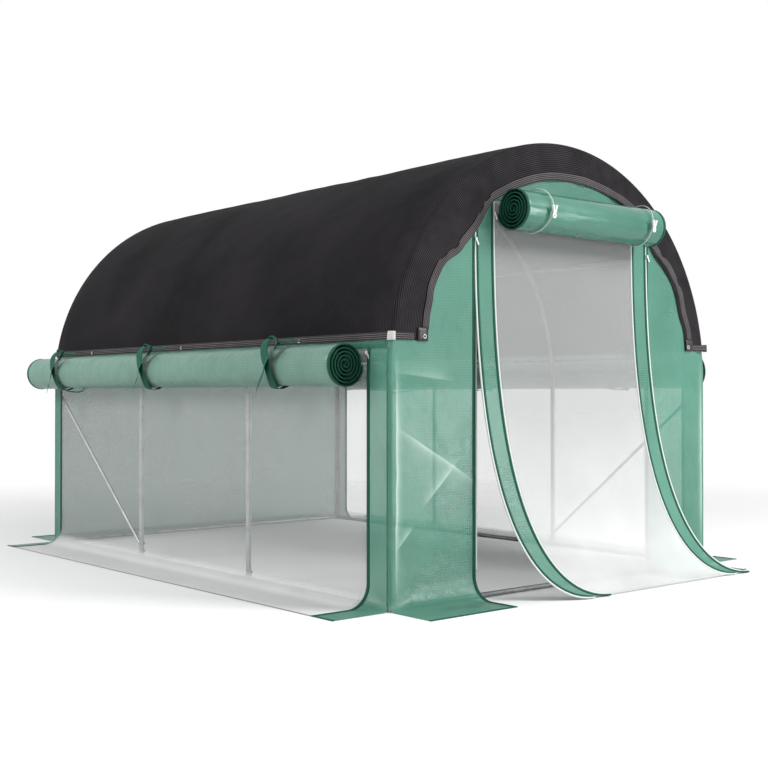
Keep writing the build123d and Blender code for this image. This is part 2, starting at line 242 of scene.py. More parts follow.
# Film walls
# Green polyethylene film with a welded thread grid. Strips beside the windows, front panels and the back
# wall hang from the roof and bend out at the foot into skirts on the ground. A gable closes the arch over
# the doorway.
FILM_SHEET = 0.0012
FILM_ALPHA = 0.62
FILM_ROUGHNESS = 0.36
FILM_GLOSS = 0.35
FILM_CRUMPLE = (6.5, 6.5, 6.5)
THREAD_PITCH = 0.0115
CORNER_R = 0.016
FOOT_BEND = 0.1
CORNER_FOOT_BEND = 0.032
CORNER_FOOT_SPREAD = 0.14
# Up a corner's seam, where it starts to close and over what height it does
SEAM_FOOT = 0.004
SEAM_RISE = 0.03
# Waves in a wall: how deep, how long each way, and where they die out at its edges and up under the net
WALL_WAVE = 0.006
PANEL_WAVES = (0.16, 0.16, 0.6)
BACK_WAVES = (0.2, 0.2, 0.7)
WAVE_REACH = 0.6
STILL_EDGE_SHARE = 0.18
STILL_FROM = 0.95
STILL_RISE = 0.15
# Across, from a jamb and from the middle, where the arched top of a panel and of the back wall ends
JAMB_TOP_IN = 0.02
BACK_TOP_HALF = 0.03
FINE_COLUMNS_SHARE = 0.12
CREASE_RIDGE = 0.004
CREASE_R = 0.02
CREASE_FACE = 0.002
CREASE_BLUR = 0.005
CREASE_END_SHARE = 0.3
SIDES = ((-1, "left"), (1, "right"))
# Creases of a front panel: across from the post and up at both ends, how far the pale side spreads, how pale
# The paleness is partly stress-whitened film and partly painted highlight; the first crease, beside the post,
# is a painted highlight
PANEL_CREASES = (
    (0.034, 0.02, 0.034, 1.04, 0.010, 0.95),
    (0.020, 0.743, 0.500, 0.486, 0.024, 0.60),
    (0.370, 0.590, 0.175, 0.402, 0.020, 0.55),
    (0.130, 0.338, 0.025, 0.232, 0.015, 0.50),
    (0.360, 0.922, 0.020, 0.956, 0.030, 0.28),
)

film_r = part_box("roof_cover")[1].z - spring - FILM_SHEET / 2
end_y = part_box("roof_cover")[1].y - FILM_SHEET / 2
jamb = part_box("front_right_panel")[0].x
doorway_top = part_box("front_gable")[0].z
window_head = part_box("left_window_screen")[1].z
head_angle = math.asin((window_head - spring) / film_r)


def lines_of(shader, coordinate, pitch, sharpness):
    """Thin lines at that pitch across a coordinate, 1 on a line and 0 between them."""
    turn = sums(shader, "MULTIPLY", coordinate, 2 * math.pi / pitch)
    wave = in_range(shader, sums(shader, "COSINE", turn), 0.5, 1.0)
    return sums(shader, "POWER", wave, sharpness)


def weave_places(shader):
    """Places on a sheet, in metres across it and along it."""
    places = add_node(shader, "ShaderNodeUVMap", {}, uv_map="weave").outputs["UV"]
    split = add_node(shader, "ShaderNodeSeparateXYZ", {"Vector": places})
    return split.outputs["X"], split.outputs["Y"]


def thread_grid(shader, pitch, sharpness):
    """Thin threads at that pitch, across a sheet and along it."""
    across, along = weave_places(shader)
    return sums(shader, "MAXIMUM", lines_of(shader, across, pitch, sharpness),
                lines_of(shader, along, pitch, sharpness))


def crease_whitening_and_highlight(shader, across, up, crease):
    """How pale the film is beside one crease, from whitening and a painted highlight, sharp on one side and
    fading on the other.
    """
    x0, z0, x1, z1, spread, pale = crease
    long = math.hypot(x1 - x0, z1 - z0)
    way_x, way_z = (x1 - x0) / long, (z1 - z0) / long
    along = sums(shader, "ADD", sums(shader, "MULTIPLY_ADD", across, way_x, -x0 * way_x - z0 * way_z),
                 sums(shader, "MULTIPLY", up, way_z))
    off = sums(shader, "ADD", sums(shader, "MULTIPLY_ADD", across, way_z, z0 * way_x - x0 * way_z),
               sums(shader, "MULTIPLY", up, -way_x))
    fading = sums(shader, "POWER", math.e, sums(shader, "DIVIDE", sums(shader, "MAXIMUM", off, 0.0), -spread))
    sharp = sums(shader, "MULTIPLY", share_of(shader, off, -CREASE_BLUR, CREASE_BLUR / 5), fading)
    fade = long * CREASE_END_SHARE
    ends = sums(shader, "MINIMUM", share_of(shader, along, 0.0, fade),
                share_of(shader, along, long, long - fade))
    return sums(shader, "MULTIPLY", sharp, sums(shader, "MULTIPLY", ends, pale))


def crumpled(shader, waves):
    """Bump like film that was packed folded, with that many waves per metre each way."""
    inputs = {0: in_metres(shader), 1: waves}
    places = add_node(shader, "ShaderNodeVectorMath", inputs, operation="MULTIPLY").outputs[0]
    raised(shader, uneven(shader, places, waves_per_metre=1.0, detail=4.0), strength=0.6, depth=0.03)


def film_finish(name, film, thread, alpha, roughness=FILM_ROUGHNESS, gloss=FILM_GLOSS, creases=(),
                crumple=FILM_CRUMPLE):
    """Glossy film with a faint grid of paler threads, cloudy and crumpled, and pale along its creases from
    whitening and a painted highlight.
    """
    made, shader = new_finish(name, film, roughness, {"Alpha": alpha, "Specular IOR Level": gloss})
    places = in_metres(shader)
    clouds = cloudy(shader, places, waves_per_metre=2.3)
    patches = cloudy(shader, places, waves_per_metre=6.5)
    threads = thread_grid(shader, THREAD_PITCH, sharpness=4.0)
    faint = sums(shader, "MULTIPLY", threads, in_range(shader, patches, 0.05, 0.3))
    body = mixed(shader, faint, mixed(shader, clouds, dimmed(film, 0.8), film), thread)
    for crease in creases:
        from_post = sums(shader, "SUBTRACT", film_r, sums(shader, "ABSOLUTE", metres_along(shader, "X")))
        wander = in_range(shader, uneven(shader, places, waves_per_metre=7.0), -CREASE_R / 3, CREASE_R / 3)
        # Painted highlight and whitening beside each crease
        mark = crease_whitening_and_highlight(shader, sums(shader, "ADD", from_post, wander), metres_along(shader, "Z"), crease)
        body = mixed(shader, mark, body, whitened_crease_highlight)
    feed(shader.inputs["Base Color"], body)
    feed(shader.inputs["Roughness"], in_range(shader, clouds, roughness - 0.06, roughness + 0.1))
    crumpled(shader, crumple)
    return made


def soft_noise(points, pitch, seed):
    """Smooth noise at each point, from about -1 to 1, with waves about that many metres apart."""
    places = np.asarray(points).reshape(-1, 3) / np.asarray(pitch) + seed
    return np.array([noise.noise(p) for p in places.tolist()]).reshape(np.shape(points)[:-1])


def eased(value):
    """0 to 1, slow at both ends."""
    held = np.clip(value, 0, 1)
    return held * held * (3 - 2 * held)


def unit(vectors):
    """Vectors with the same directions, each 1 long."""
    return vectors / np.maximum(np.linalg.norm(vectors, axis=-1, keepdims=True), 1e-12)


def normals_of(grid):
    """The direction that each point of a sheet faces."""
    return unit(np.cross(np.gradient(grid, axis=1), np.gradient(grid, axis=0)))


def lengths(grid, axis):
    """Metres along a sheet's rows or columns up to each point."""
    steps = np.linalg.norm(np.diff(grid, axis=axis), axis=-1)
    start = np.zeros_like(np.take(steps, [0], axis=axis))
    return np.concatenate([start, np.cumsum(steps, axis=axis)], axis=axis)


def faces_of(rows, columns):
    """The four corners of each cell of a grid of points."""
    first = (np.arange(rows - 1)[:, None] * columns + np.arange(columns - 1)).reshape(-1)
    return np.stack([first, first + 1, first + columns + 1, first + columns], axis=1)


def object_of(name, points, faces, weave, finish):
    """A smooth mesh that rides on the tunnel, with its weave's places in metres at each face corner."""
    mesh = bpy.data.meshes.new(name)
    mesh.from_pydata(points.tolist(), [], [list(map(int, face)) for face in faces])
    layer = mesh.uv_layers.new(name="weave")
    layer.uv.foreach_set("vector", np.asarray(weave, np.float32).ravel())
    mesh.shade_smooth()
    mesh.materials.append(finish)
    made = bpy.data.objects.new(name, mesh)
    scene.collection.objects.link(made)
    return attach(made, "root")


def sheet_of(name, grid, finish, thickness=FILM_SHEET):
    """A thin sheet over rows and columns of points."""
    faces = faces_of(*grid.shape[:2])
    places = np.stack([lengths(grid, 1), lengths(grid, 0)], axis=-1).reshape(-1, 2)
    made = object_of(name, grid.reshape(-1, 3), faces, places[faces].reshape(-1, 2), finish)
    body = made.modifiers.new("sheet thickness", "SOLIDIFY")
    body.thickness = thickness
    body.offset = 0
    return made


def stands_for(piece, node):
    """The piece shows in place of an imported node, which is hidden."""
    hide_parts(node)


def foot_line(reach, bend):
    """A wall from the tip of its skirt up to the springing: how far out it is, and how high."""
    turn = np.linspace(math.pi / 2, 0, 12)
    straight = np.linspace(bend, spring, 52)[1:]
    out = np.concatenate([np.linspace(reach, bend, 7)[:-1], bend * (1 - np.cos(turn)), straight * 0])
    up = np.concatenate([np.zeros(6), bend * (1 - np.sin(turn)), straight])
    return out, up + FILM_SHEET * (up < bend)


def sewn_up(height):
    """How far a corner's seam is closed at a height, from 0 at the skirt to 1."""
    return eased((height - SEAM_FOOT) / SEAM_RISE)


def corner_bend(distance):
    """The bend at a wall's foot at a distance from a corner, where the film is sewn up and bends late."""
    return CORNER_FOOT_BEND + (FOOT_BEND - CORNER_FOOT_BEND) * eased(distance / CORNER_FOOT_SPREAD)


def side_grid(side, places, bends, reach):
    """Points of a side wall at places along the tunnel, up to the window head, facing outwards."""
    turns = np.linspace(0, head_angle, 8)[1:]
    columns = []
    for y, bend in sorted(zip(places, bends), key=lambda column: side * column[0]):
        out, up = foot_line(reach, bend)
        across = np.concatenate([film_r + out, film_r * np.cos(turns)])
        heights = np.concatenate([up, spring + film_r * np.sin(turns)])
        columns.append(np.stack([side * across, across * 0 + y, heights], axis=-1))
    return np.stack(columns, axis=1)


def loosened(grid, depth, pitch, seed):
    """A sheet with soft outward waves in it that die out towards its edges and under the net."""
    counts = [np.arange(n) for n in grid.shape[:2]]
    rows, columns = (eased(np.minimum(n, n[::-1]) / (len(n) * STILL_EDGE_SHARE)) for n in counts)
    loose = rows[:, None] * columns * (1 - eased((grid[..., 2] - STILL_FROM) / STILL_RISE))
    wave = np.clip((soft_noise(grid, pitch, seed) + WAVE_REACH) / (2 * WAVE_REACH), 0, 1)
    return grid + normals_of(grid) * (depth * loose * wave)[..., None]


# The crease colour is partly stress-whitened film and partly painted highlight
green, pale_thread, whitened_crease_highlight = shade_of(85, 148, 127), shade_of(132, 180, 163), shade_of(208, 234, 222)
film = film_finish("green_film", green, pale_thread, FILM_ALPHA)
side_reach = -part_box("left_front_corner_strip")[0].x - film_r
strip_grids = {}
for side, hand in SIDES:
    for place, columns in (("front", 14), ("back", 12)):
        node = f"{hand}_{place}_corner_strip"
        low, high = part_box(node)
        places = np.linspace(low.y, high.y, columns)
        grid = side_grid(side, places, corner_bend(end_y - np.abs(places)), side_reach)
        outer = np.abs(grid[..., 1]) > end_y - FILM_SHEET
        grid[..., 1] -= np.where(outer, np.sign(grid[..., 1]) * CORNER_R * sewn_up(grid[..., 2]), 0)
        strip_grids[node] = grid
        stands_for(sheet_of(f"{node}_film", grid, film), node)


def end_half(inner, reach, shares, top_angle):
    """Half of an end wall from its rounded corner to an inner edge: across, out from the roof, and up."""
    bends = np.linspace(0, math.pi / 2, 6)
    corner = [(CORNER_R * (1 - math.cos(t)), CORNER_R * (1 - math.sin(t)), 0.0) for t in bends]
    turns = np.linspace(0, top_angle, 27)[1:]
    columns = []
    for inset, behind, share in corner + [(CORNER_R, 0.0, s) for s in shares[1:]]:
        radius = film_r - inset
        across = radius * (1 - share) + inner * share
        out, up = foot_line(reach, corner_bend(film_r - across))
        arch = radius * np.cos(turns) * (1 - share) + inner * share
        wide = np.concatenate([out * 0 + across, arch])
        outs = np.concatenate([out - behind * sewn_up(up), turns * 0 - behind])
        heights = np.concatenate([up, spring + radius * np.sin(turns)])
        columns.append(np.stack([wide, end_y + outs, heights], axis=-1))
    return np.stack(columns, axis=1)


def crease_ridges(grid, creases):
    """How high a front panel stands at each point along its creases, as a share of the ridge."""
    places = np.stack([film_r - np.abs(grid[..., 0]), grid[..., 2]], axis=-1)
    ridge = np.zeros(grid.shape[:2])
    for x0, z0, x1, z1, *_ in creases:
        start, run = np.array((x0, z0)), np.array((x1 - x0, z1 - z0))
        along = np.clip(((places - start) @ run) / (run @ run), 0, 1)
        off = ((places - start) @ np.array((run[1], -run[0]))) / np.linalg.norm(run)
        ridge = np.maximum(ridge, np.exp(-((off / CREASE_R) ** 2)) * np.sin(math.pi * along))
    return ridge * (grid[..., 1] < CREASE_FACE - end_y)


panel_reach = -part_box("front_left_panel")[0].y - end_y
fine_shares = np.linspace(0, FINE_COLUMNS_SHARE, 20)
panel_shares = np.concatenate([fine_shares, np.linspace(FINE_COLUMNS_SHARE, 1, 56)[1:]])
panel_grids = {}
for side, hand in SIDES:
    node = f"front_{hand}_panel"
    # Creases are painted pale as whitening and painted highlight; the right panel keeps only the painted
    # highlight by the post
    creases = PANEL_CREASES if side < 0 else PANEL_CREASES[:1]
    creased_film = film_finish(f"{hand}_creased_film", green, pale_thread, FILM_ALPHA, creases=creases)
    half = end_half(jamb, panel_reach, panel_shares, math.acos((jamb + JAMB_TOP_IN) / film_r))
    flat_grid = (half if side < 0 else half[:, ::-1]) * (side, -1, 1)
    loose = loosened(flat_grid, WALL_WAVE, PANEL_WAVES, seed=3.1 + side)
    grid = loose + normals_of(loose) * (CREASE_RIDGE * crease_ridges(flat_grid, creases))[..., None]
    panel_grids[node] = grid
    stands_for(sheet_of(f"{node}_film", grid, creased_film), node)

back_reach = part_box("back_wall")[1].y - end_y
back_half = end_half(0.0, back_reach, np.linspace(0, 1, 34), math.acos(BACK_TOP_HALF / film_r))
back_flat = np.concatenate([back_half[:, :-1], (back_half * (-1, 1, 1))[:, ::-1]], axis=1)
back_points = loosened(back_flat, WALL_WAVE, BACK_WAVES, seed=8.3)
back_wall = sheet_of("back_wall_film", back_points, film)
stands_for(back_wall, "back_wall")


def gable_grid():
    """Points of the film over the doorway, up and over the arch, facing forwards."""
    places = np.linspace(-jamb, jamb, 41)
    tops = spring + np.sqrt((film_r - CORNER_R) ** 2 - places**2)
    rows = [np.stack([places, places * 0 - end_y, doorway_top + (tops - doorway_top) * h], axis=-1)
            for h in np.linspace(0, 1, 14)]
    for turn in np.linspace(math.pi / 2, 0, 6)[1:]:
        radius = film_r - CORNER_R * (1 - math.cos(turn))
        along = end_y - CORNER_R * (1 - math.sin(turn))
        rows.append(np.stack([places, places * 0 - along, spring + np.sqrt(radius**2 - places**2)], axis=-1))
    return np.array(rows)


gable_points = gable_grid()
gable = sheet_of("front_gable_film", gable_points, film)
stands_for(gable, "front_gable")

# Roof film
# One sheet of the same film over the arches, from one window head to the other. The net over it keeps the
# light off, so its colour is painted darker above the window head, as painted shade of the net.
ROOF_ALPHA = 0.5
# Above the window head, where the net's painted shade starts and where it is full
SHADE_FROM = 0.034
SHADE_FULL = 0.06

roof_turns = np.linspace(math.pi - head_angle, head_angle, 90)
roof_places = np.linspace(CORNER_R - end_y, end_y - CORNER_R, 40)
roof_points = np.array([[(film_r * math.cos(t), y, spring + film_r * math.sin(t)) for t in roof_turns]
                        for y in roof_places])


def roof_finish():
    """The walls' film up to the net's edge, and painted shade of the net above it."""
    made, shader = new_finish("roof_film_net_shade", shade_of(44, 62, 56), FILM_ROUGHNESS,
                              {"Specular IOR Level": FILM_GLOSS})
    net_shade_share = share_of(shader, metres_along(shader, "Z"), window_head + SHADE_FROM, window_head + SHADE_FULL)
    clouds = cloudy(shader, in_metres(shader), waves_per_metre=2.3)
    shaded = mixed(shader, clouds, shade_of(36, 52, 47), shade_of(50, 70, 63))
    feed(shader.inputs["Base Color"], mixed(shader, net_shade_share, shade_of(74, 136, 115), shaded))
    feed(shader.inputs["Alpha"], in_range(shader, net_shade_share, FILM_ALPHA, ROOF_ALPHA))
    crumpled(shader, FILM_CRUMPLE)
    return made


roof = sheet_of("roof_film", roof_points, roof_finish())
stands_for(roof, "roof_cover")

# Bound edges
# Dark green woven tape folded over the cut edges of the film and sewn on: along the windows and down
# round their skirts, and along the door jambs beside the zips.
WINDOW_TAPE = 0.017
JAMB_TAPE = 0.017
JAMB_TAPE_TOP = 1.78
SKIRT_TAPE = 0.008
TAPE_THICK = 0.0018
TAPE_ROUND = 0.001
TAPE_CROWN_SHARE = 1.25


def tape_finish(name, colour, pitch=0.0022):
    """Woven tape with fine ribs across it, painted shade between the ribs, and a faint mottle."""
    made, shader = new_finish(name, colour, 0.72, {"Specular IOR Level": 0.3})
    ribs = lines_of(shader, weave_places(shader)[1], pitch, sharpness=1.0)
    mottle = cloudy(shader, in_metres(shader), waves_per_metre=40.0)
    # Painted shade between the ribs, with a random mottle
    lit = in_range(shader, sums(shader, "MULTIPLY", ribs, mottle), 0.25, 1.0)
    feed(shader.inputs["Base Color"], mixed(shader, lit, dimmed(colour, 0.6), colour))
    raised(shader, ribs, strength=0.35, depth=0.0006)
    return made


def swept(name, spine, across, up, profile, finish):
    """A closed profile carried along a line of points, with its own across and up at each."""
    outline = np.array(profile)
    points = spine[:, None] + across[:, None] * outline[None, :, :1] + up[:, None] * outline[None, :, 1:]
    count, ring = points.shape[:2]
    closed = np.concatenate([points, points[:, :1]], axis=1)
    places = np.stack([lengths(closed, 1), lengths(closed, 0)], axis=-1).reshape(-1, 2)
    cells = faces_of(count, ring + 1)
    weave = list(places[cells].reshape(-1, 2))
    faces = [[c // (ring + 1) * ring + c % (ring + 1) % ring for c in cell] for cell in cells.tolist()]
    for end in (0, count - 1):
        faces.append([end * ring + j for j in range(ring)])
        weave += list(places[end * (ring + 1):end * (ring + 1) + ring])
    made = object_of(name, points.reshape(-1, 3), faces, weave, finish)
    form = bmesh.new()
    form.from_mesh(made.data)
    bmesh.ops.recalc_face_normals(form, faces=form.faces)
    form.to_mesh(made.data)
    form.free()
    return made


def edge_of(grid, which):
    """A sheet's edge as a line of points, with the way into the sheet and the way that it faces."""
    facing = normals_of(grid)
    lines = {
        "first_column": (grid[:, 0], grid[:, 1], facing[:, 0]),
        "last_column": (grid[:, -1], grid[:, -2], facing[:, -1]),
        "first_row": (grid[0], grid[1], facing[0]),
        "last_row": (grid[-1], grid[-2], facing[-1]),
    }
    spine, inner, up = lines[which]
    run = unit(np.gradient(spine, axis=0))
    inwards = inner - spine
    across = unit(inwards - run * (inwards * run).sum(-1, keepdims=True))
    return spine, across, up


def band(width, thick):
    """The section of a flat tape, a little crowned, from just past the sheet's edge inwards."""
    upper = [(TAPE_ROUND - FILM_SHEET, thick / 2), (width / 2, thick / 2 * TAPE_CROWN_SHARE),
             (width - TAPE_ROUND, thick / 2)]
    return [(-FILM_SHEET, 0), *upper, (width, 0), *((across, -up) for across, up in reversed(upper))]


binding = tape_finish("dark_green_tape", shade_of(9, 82, 62))


def bound_edge(name, grid, which, width):
    """A tape folded over one edge of a sheet."""
    section = band(width, FILM_SHEET + 2 * TAPE_THICK)
    return swept(f"{name}_{which}_tape", *edge_of(grid, which), section, binding)


for node, grid in strip_grids.items():
    window_is_last = abs(grid[0, -1, 1]) < abs(grid[0, 0, 1])
    tapes = [bound_edge(node, grid, "last_column" if window_is_last else "first_column", WINDOW_TAPE),
             bound_edge(node, grid, "first_row", SKIRT_TAPE)]

# Zips
# White coil zips sewn to the bound edges of the doorway and of its curtain. Their sliders hang near
# the top, each with a small tab.
ZIP_WIDTH = 0.009
ZIP_THICK = 0.003
ZIP_FOOT = 0.1
ZIP_TOOTH = 0.004
ZIP_GAP = 0.001
ZIP_CROWN_SHARE = 0.8
SLIDER = (0.008, 0.006, 0.013)
PULL = (0.006, 0.002, 0.024)
PULL_HANG = Vector((0.006, -0.003, -0.014))
PULL_LEAN = -0.45
# Across, along and up of each slider
SLIDER_PLACES = ((-0.469, -1.5215, 1.642), (-0.5795, -1.5215, 1.524), (0.584, -1.5215, 1.535),
                 (-1.0685, -1.384, 1.036))


def zip_finish():
    """White coils across the zip, with shade between them."""
    made, shader = new_finish("white_zip", shade_of(232, 236, 233), 0.5)
    teeth = lines_of(shader, weave_places(shader)[1], ZIP_TOOTH, sharpness=1.0)
    white, shadow = shade_of(240, 243, 240), shade_of(176, 186, 181)
    feed(shader.inputs["Base Color"], mixed(shader, teeth, shadow, white))
    raised(shader, teeth, strength=0.6, depth=0.001)
    return made


white_zip = zip_finish()


def zip_along(name, spine, across, up):
    """A zip beside an edge, from the edge outwards."""
    near, far = -ZIP_GAP, -ZIP_GAP - ZIP_WIDTH
    section = [(near, -ZIP_THICK / 2), (near, ZIP_THICK / 2), ((near + far) / 2, ZIP_THICK * ZIP_CROWN_SHARE),
               (far, ZIP_THICK / 2), (far, -ZIP_THICK / 2)]
    return swept(name, spine, across, up, section, white_zip)


def plastic_finish(name, colour, roughness):
    """Moulded plastic with a faint unevenness."""
    made, shader = new_finish(name, colour, roughness)
    patches = cloudy(shader, in_metres(shader), waves_per_metre=60.0)
    feed(shader.inputs["Base Color"], mixed(shader, patches, dimmed(colour, 0.93), colour))
    raised(shader, patches, strength=0.15, depth=0.0008)
    return made


def add_block(form, place, size, lean=0.0):
    """A block round a place, leaned over sideways."""
    turn = Matrix.Rotation(lean, 4, "Y") @ Matrix.Diagonal((*size, 1.0))
    bmesh.ops.create_cube(form, size=1.0, matrix=Matrix.Translation(place) @ turn)


def zip_sliders(form):
    """Each slider with its tab, which hangs to one side."""
    for place in SLIDER_PLACES:
        add_block(form, place, SLIDER)
        add_block(form, Vector(place) + PULL_HANG, PULL, PULL_LEAN)


white_plastic = plastic_finish("white_plastic", shade_of(236, 238, 235), 0.35)
joined_mesh("zip_sliders", white_plastic, zip_sliders)
for side, hand in SIDES:
    node = f"front_{hand}_panel"
    grid = panel_grids[node]
    jamb_side = "last_column" if side < 0 else "first_column"
    spine, across, up = edge_of(grid, jamb_side)
    beside_door = (spine[:, 2] > ZIP_FOOT) & (spine[:, 2] < doorway_top)
    below_net = grid[:np.argmax(spine[:, 2] > JAMB_TAPE_TOP)]
    trims = [bound_edge(node, below_net, jamb_side, JAMB_TAPE),
             bound_edge(node, grid, "first_row", SKIRT_TAPE),
             zip_along(f"{node}_zip", spine[beside_door], across[beside_door], up[beside_door])]
bound_edge("back_wall", back_points, "first_row", SKIRT_TAPE)

# Window screens
# Fine white insect screen in one piece on each long side, sewn to the strips and the roof, with its own
# skirt on the ground. A thin grey tape hems the skirt.
SCREEN_SHEET = 0.0008
SCREEN_PITCH = 0.0026
SCREEN_COLUMNS = 60
SCREEN_HEM = 0.006
SCREEN_HEM_THICK = 0.002
WINDOW_ALPHA = 0.13
WINDOW_SKIRT = 0.06
WINDOW_SKIRT_ALPHA = 0.6
FOOT_FULL_SHARE = 0.2


def screen_finish(name, colour, foot_colour, alpha, foot_alpha, foot_height):
    """Open woven screen, a haze of fine thread in both directions. Its foot is paler and denser; a darker
    colour above the foot is painted shade.
    """
    made, shader = new_finish(name, colour, 0.65)
    threads = thread_grid(shader, SCREEN_PITCH, sharpness=2.0)
    clouds = cloudy(shader, in_metres(shader), waves_per_metre=3.0)
    lit = sums(shader, "MULTIPLY", in_range(shader, threads, 0.55, 1.0), in_range(shader, clouds, 0.7, 1.0))
    near_foot = share_of(shader, metres_along(shader, "Z"), foot_height, foot_height * FOOT_FULL_SHARE)
    paler = mixed(shader, near_foot, colour, foot_colour)
    feed(shader.inputs["Base Color"], mixed(shader, lit, dimmed(colour, 0.8), paler))
    feed(shader.inputs["Alpha"], in_range(shader, near_foot, alpha, foot_alpha))
    raised(shader, threads, strength=0.2, depth=0.0006)
    return made


window_mesh = screen_finish("window_screen_mesh", shade_of(238, 240, 240), shade_of(248, 248, 247),
                            WINDOW_ALPHA, WINDOW_SKIRT_ALPHA, WINDOW_SKIRT)
grey_hem = tape_finish("grey_screen_hem", shade_of(150, 152, 152))
for side, hand in SIDES:
    node = f"{hand}_window_screen"
    low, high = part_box(node)
    places = np.linspace(low.y, high.y, SCREEN_COLUMNS)
    grid = side_grid(side, places, np.full(SCREEN_COLUMNS, FOOT_BEND), side_reach)
    screen = sheet_of(f"{node}_mesh", grid, window_mesh, SCREEN_SHEET)
    stands_for(screen, node)
    hem = swept(f"{node}_hem", *edge_of(grid, "first_row"), band(SCREEN_HEM, SCREEN_HEM_THICK), grey_hem)

# Door curtain
# Insect screen between two film borders. It is unzipped from the jambs, hangs from the doorway's head
# and sweeps forwards and to one side onto the ground.
CURTAIN_ROWS = 60
CURTAIN_TAPE = 0.012
CURTAIN_PLAY = 0.005
CURTAIN_CLEAR = 0.007
CURTAIN_PLUMB = 0.55
CURTAIN_TURN_DROP = 1.4
CURTAIN_TURN_REACH = 0.258
DOOR_ALPHA = 0.4
DOOR_FOOT = 0.8
DOOR_FOOT_ALPHA = 0.5

border_low, border_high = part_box("door_left_border")
curtain_half = jamb - CURTAIN_PLAY
border_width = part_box("door_screen")[0].x - border_low.x
curtain_shift = border_high.x - border_width - border_low.x


def curtain_line(across):
    """The curtain's hang from a place along the doorway's head, down to its tip on the ground."""
    stops = np.array([
        (across, -end_y, border_high.z),
        (across, -end_y, border_high.z - CURTAIN_PLUMB),
        (across, -end_y, border_high.z - CURTAIN_TURN_DROP),
        (across + curtain_shift / 4, -end_y - CURTAIN_TURN_REACH, CURTAIN_CLEAR),
        (across + curtain_shift, border_low.y + FILM_SHEET, CURTAIN_CLEAR),
    ])
    share = np.linspace(0, 1, CURTAIN_ROWS)[:, None]
    last = len(stops) - 1
    weights = [math.comb(last, i) * share**i * (1 - share) ** (last - i) for i in range(last + 1)]
    return sum(w * stop for w, stop in zip(weights, stops))


# The door screen is painted grey above its foot, as painted shade
door_mesh = screen_finish("door_screen_mesh", shade_of(182, 184, 184), shade_of(244, 245, 244),
                          DOOR_ALPHA, DOOR_FOOT_ALPHA, DOOR_FOOT)
screen_half = curtain_half - border_width
# From where to where across, and how many columns of points
spans = {
    "door_left_border": (-curtain_half, -screen_half, 6),
    "door_screen": (-screen_half, screen_half, 40),
    "door_right_border": (screen_half, curtain_half, 6),
}
for node, (start, end, columns) in spans.items():
    grid = np.stack([curtain_line(x) for x in np.linspace(start, end, columns)], axis=1)[::-1]
    trims = []
    if node == "door_screen":
        width = sheet_of(f"{node}_mesh", grid, door_mesh, SCREEN_SHEET)
        stands_for(width, node)
    else:
        width = sheet_of(f"{node}_film", grid, film)
        stands_for(width, node)
        for which in ("first_column", "last_column"):
            trims.append(bound_edge(node, grid, which, CURTAIN_TAPE))
            trims.append(zip_along(f"{node}_{which}_zip", *edge_of(grid, which)))

# Window rolls
# The film of each window, rolled up outwards and tied under the eaves. The ends of the roll show the
# dark tape that binds the film's edges, turn by turn.
ROLL_R = 0.095
ROLL_PITCH = 0.0155
ROLL_TURNS = 5.5
ROLL_STEPS = 44
ROLL_TAPE = 0.014
TIE_PINCH = 0.006
PINCH_REACH = 0.05
ROLL_LOOSE = 0.0025
DENTS_PER_METRE = 9
DENTS_ALONG = 3.2
ROLLED_ALPHA = 0.9
# Along the tunnel, where each roll is tied
TIE_PLACES = (-0.9405, 0.1395, 1.1205)

roll_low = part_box("left_window_roll")[0]
roll_up = roll_low.z + ROLL_R
roll_across = -roll_low.x - ROLL_R


def roll_grid(place_of, start, end, columns, pinches, seed):
    """Points of a rolled film: place_of turns out, up and along into a point of the tunnel."""
    swing = np.linspace(ROLL_TURNS * 2 * math.pi, 0, int(ROLL_TURNS * ROLL_STEPS))
    radius, angle = ROLL_R - FILM_SHEET - ROLL_PITCH * swing / (2 * math.pi), math.pi + swing
    grid = []
    for along in np.linspace(start, end, columns):
        pinch = sum(math.exp(-(((along - p) / PINCH_REACH) ** 2)) for p in pinches) * TIE_PINCH
        around = radius * np.stack([np.cos(angle), np.sin(angle)]) * DENTS_PER_METRE
        spots = np.stack([around[0] + seed, angle * 0 + along * DENTS_ALONG, around[1]], axis=-1)
        slack = pinch + ROLL_LOOSE * np.abs(soft_noise(spots, 1.0, 0.0))
        held = radius - slack * np.minimum(1.0, radius / ROLL_R)
        grid.append([place_of(r * math.cos(a), r * math.sin(a), along) for r, a in zip(held, angle)])
    return np.array(grid)


rolled_film = film_finish("rolled_green_film", shade_of(108, 148, 133), shade_of(154, 186, 173), ROLLED_ALPHA,
                          roughness=0.34)
roll_sheets = {}
for side, hand in SIDES:
    node = f"{hand}_window_roll"
    low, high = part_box(node)

    def on_side(out, up, along):
        """A place on the roll of this side."""
        return side * (roll_across + out), along, roll_up + up

    grid = roll_grid(on_side, low.y, high.y, 90, TIE_PLACES, seed=5.0 + side)
    roll_sheets[side] = sheet_of(f"{node}_film", grid, rolled_film)
    stands_for(roll_sheets[side], node)
    tapes = [bound_edge(node, grid, which, ROLL_TAPE) for which in ("first_row", "last_row")]

# Roll ribbons
# Woven ribbons sewn in under the net's hem. Each goes round the roll, crosses over itself in an upright
# loop and hangs down as two legs, with a thin tail of the same ribbon.
RIBBON_WIDTH = 0.042
RIBBON_SHEET = 0.001
TAIL_WIDTH = 0.009
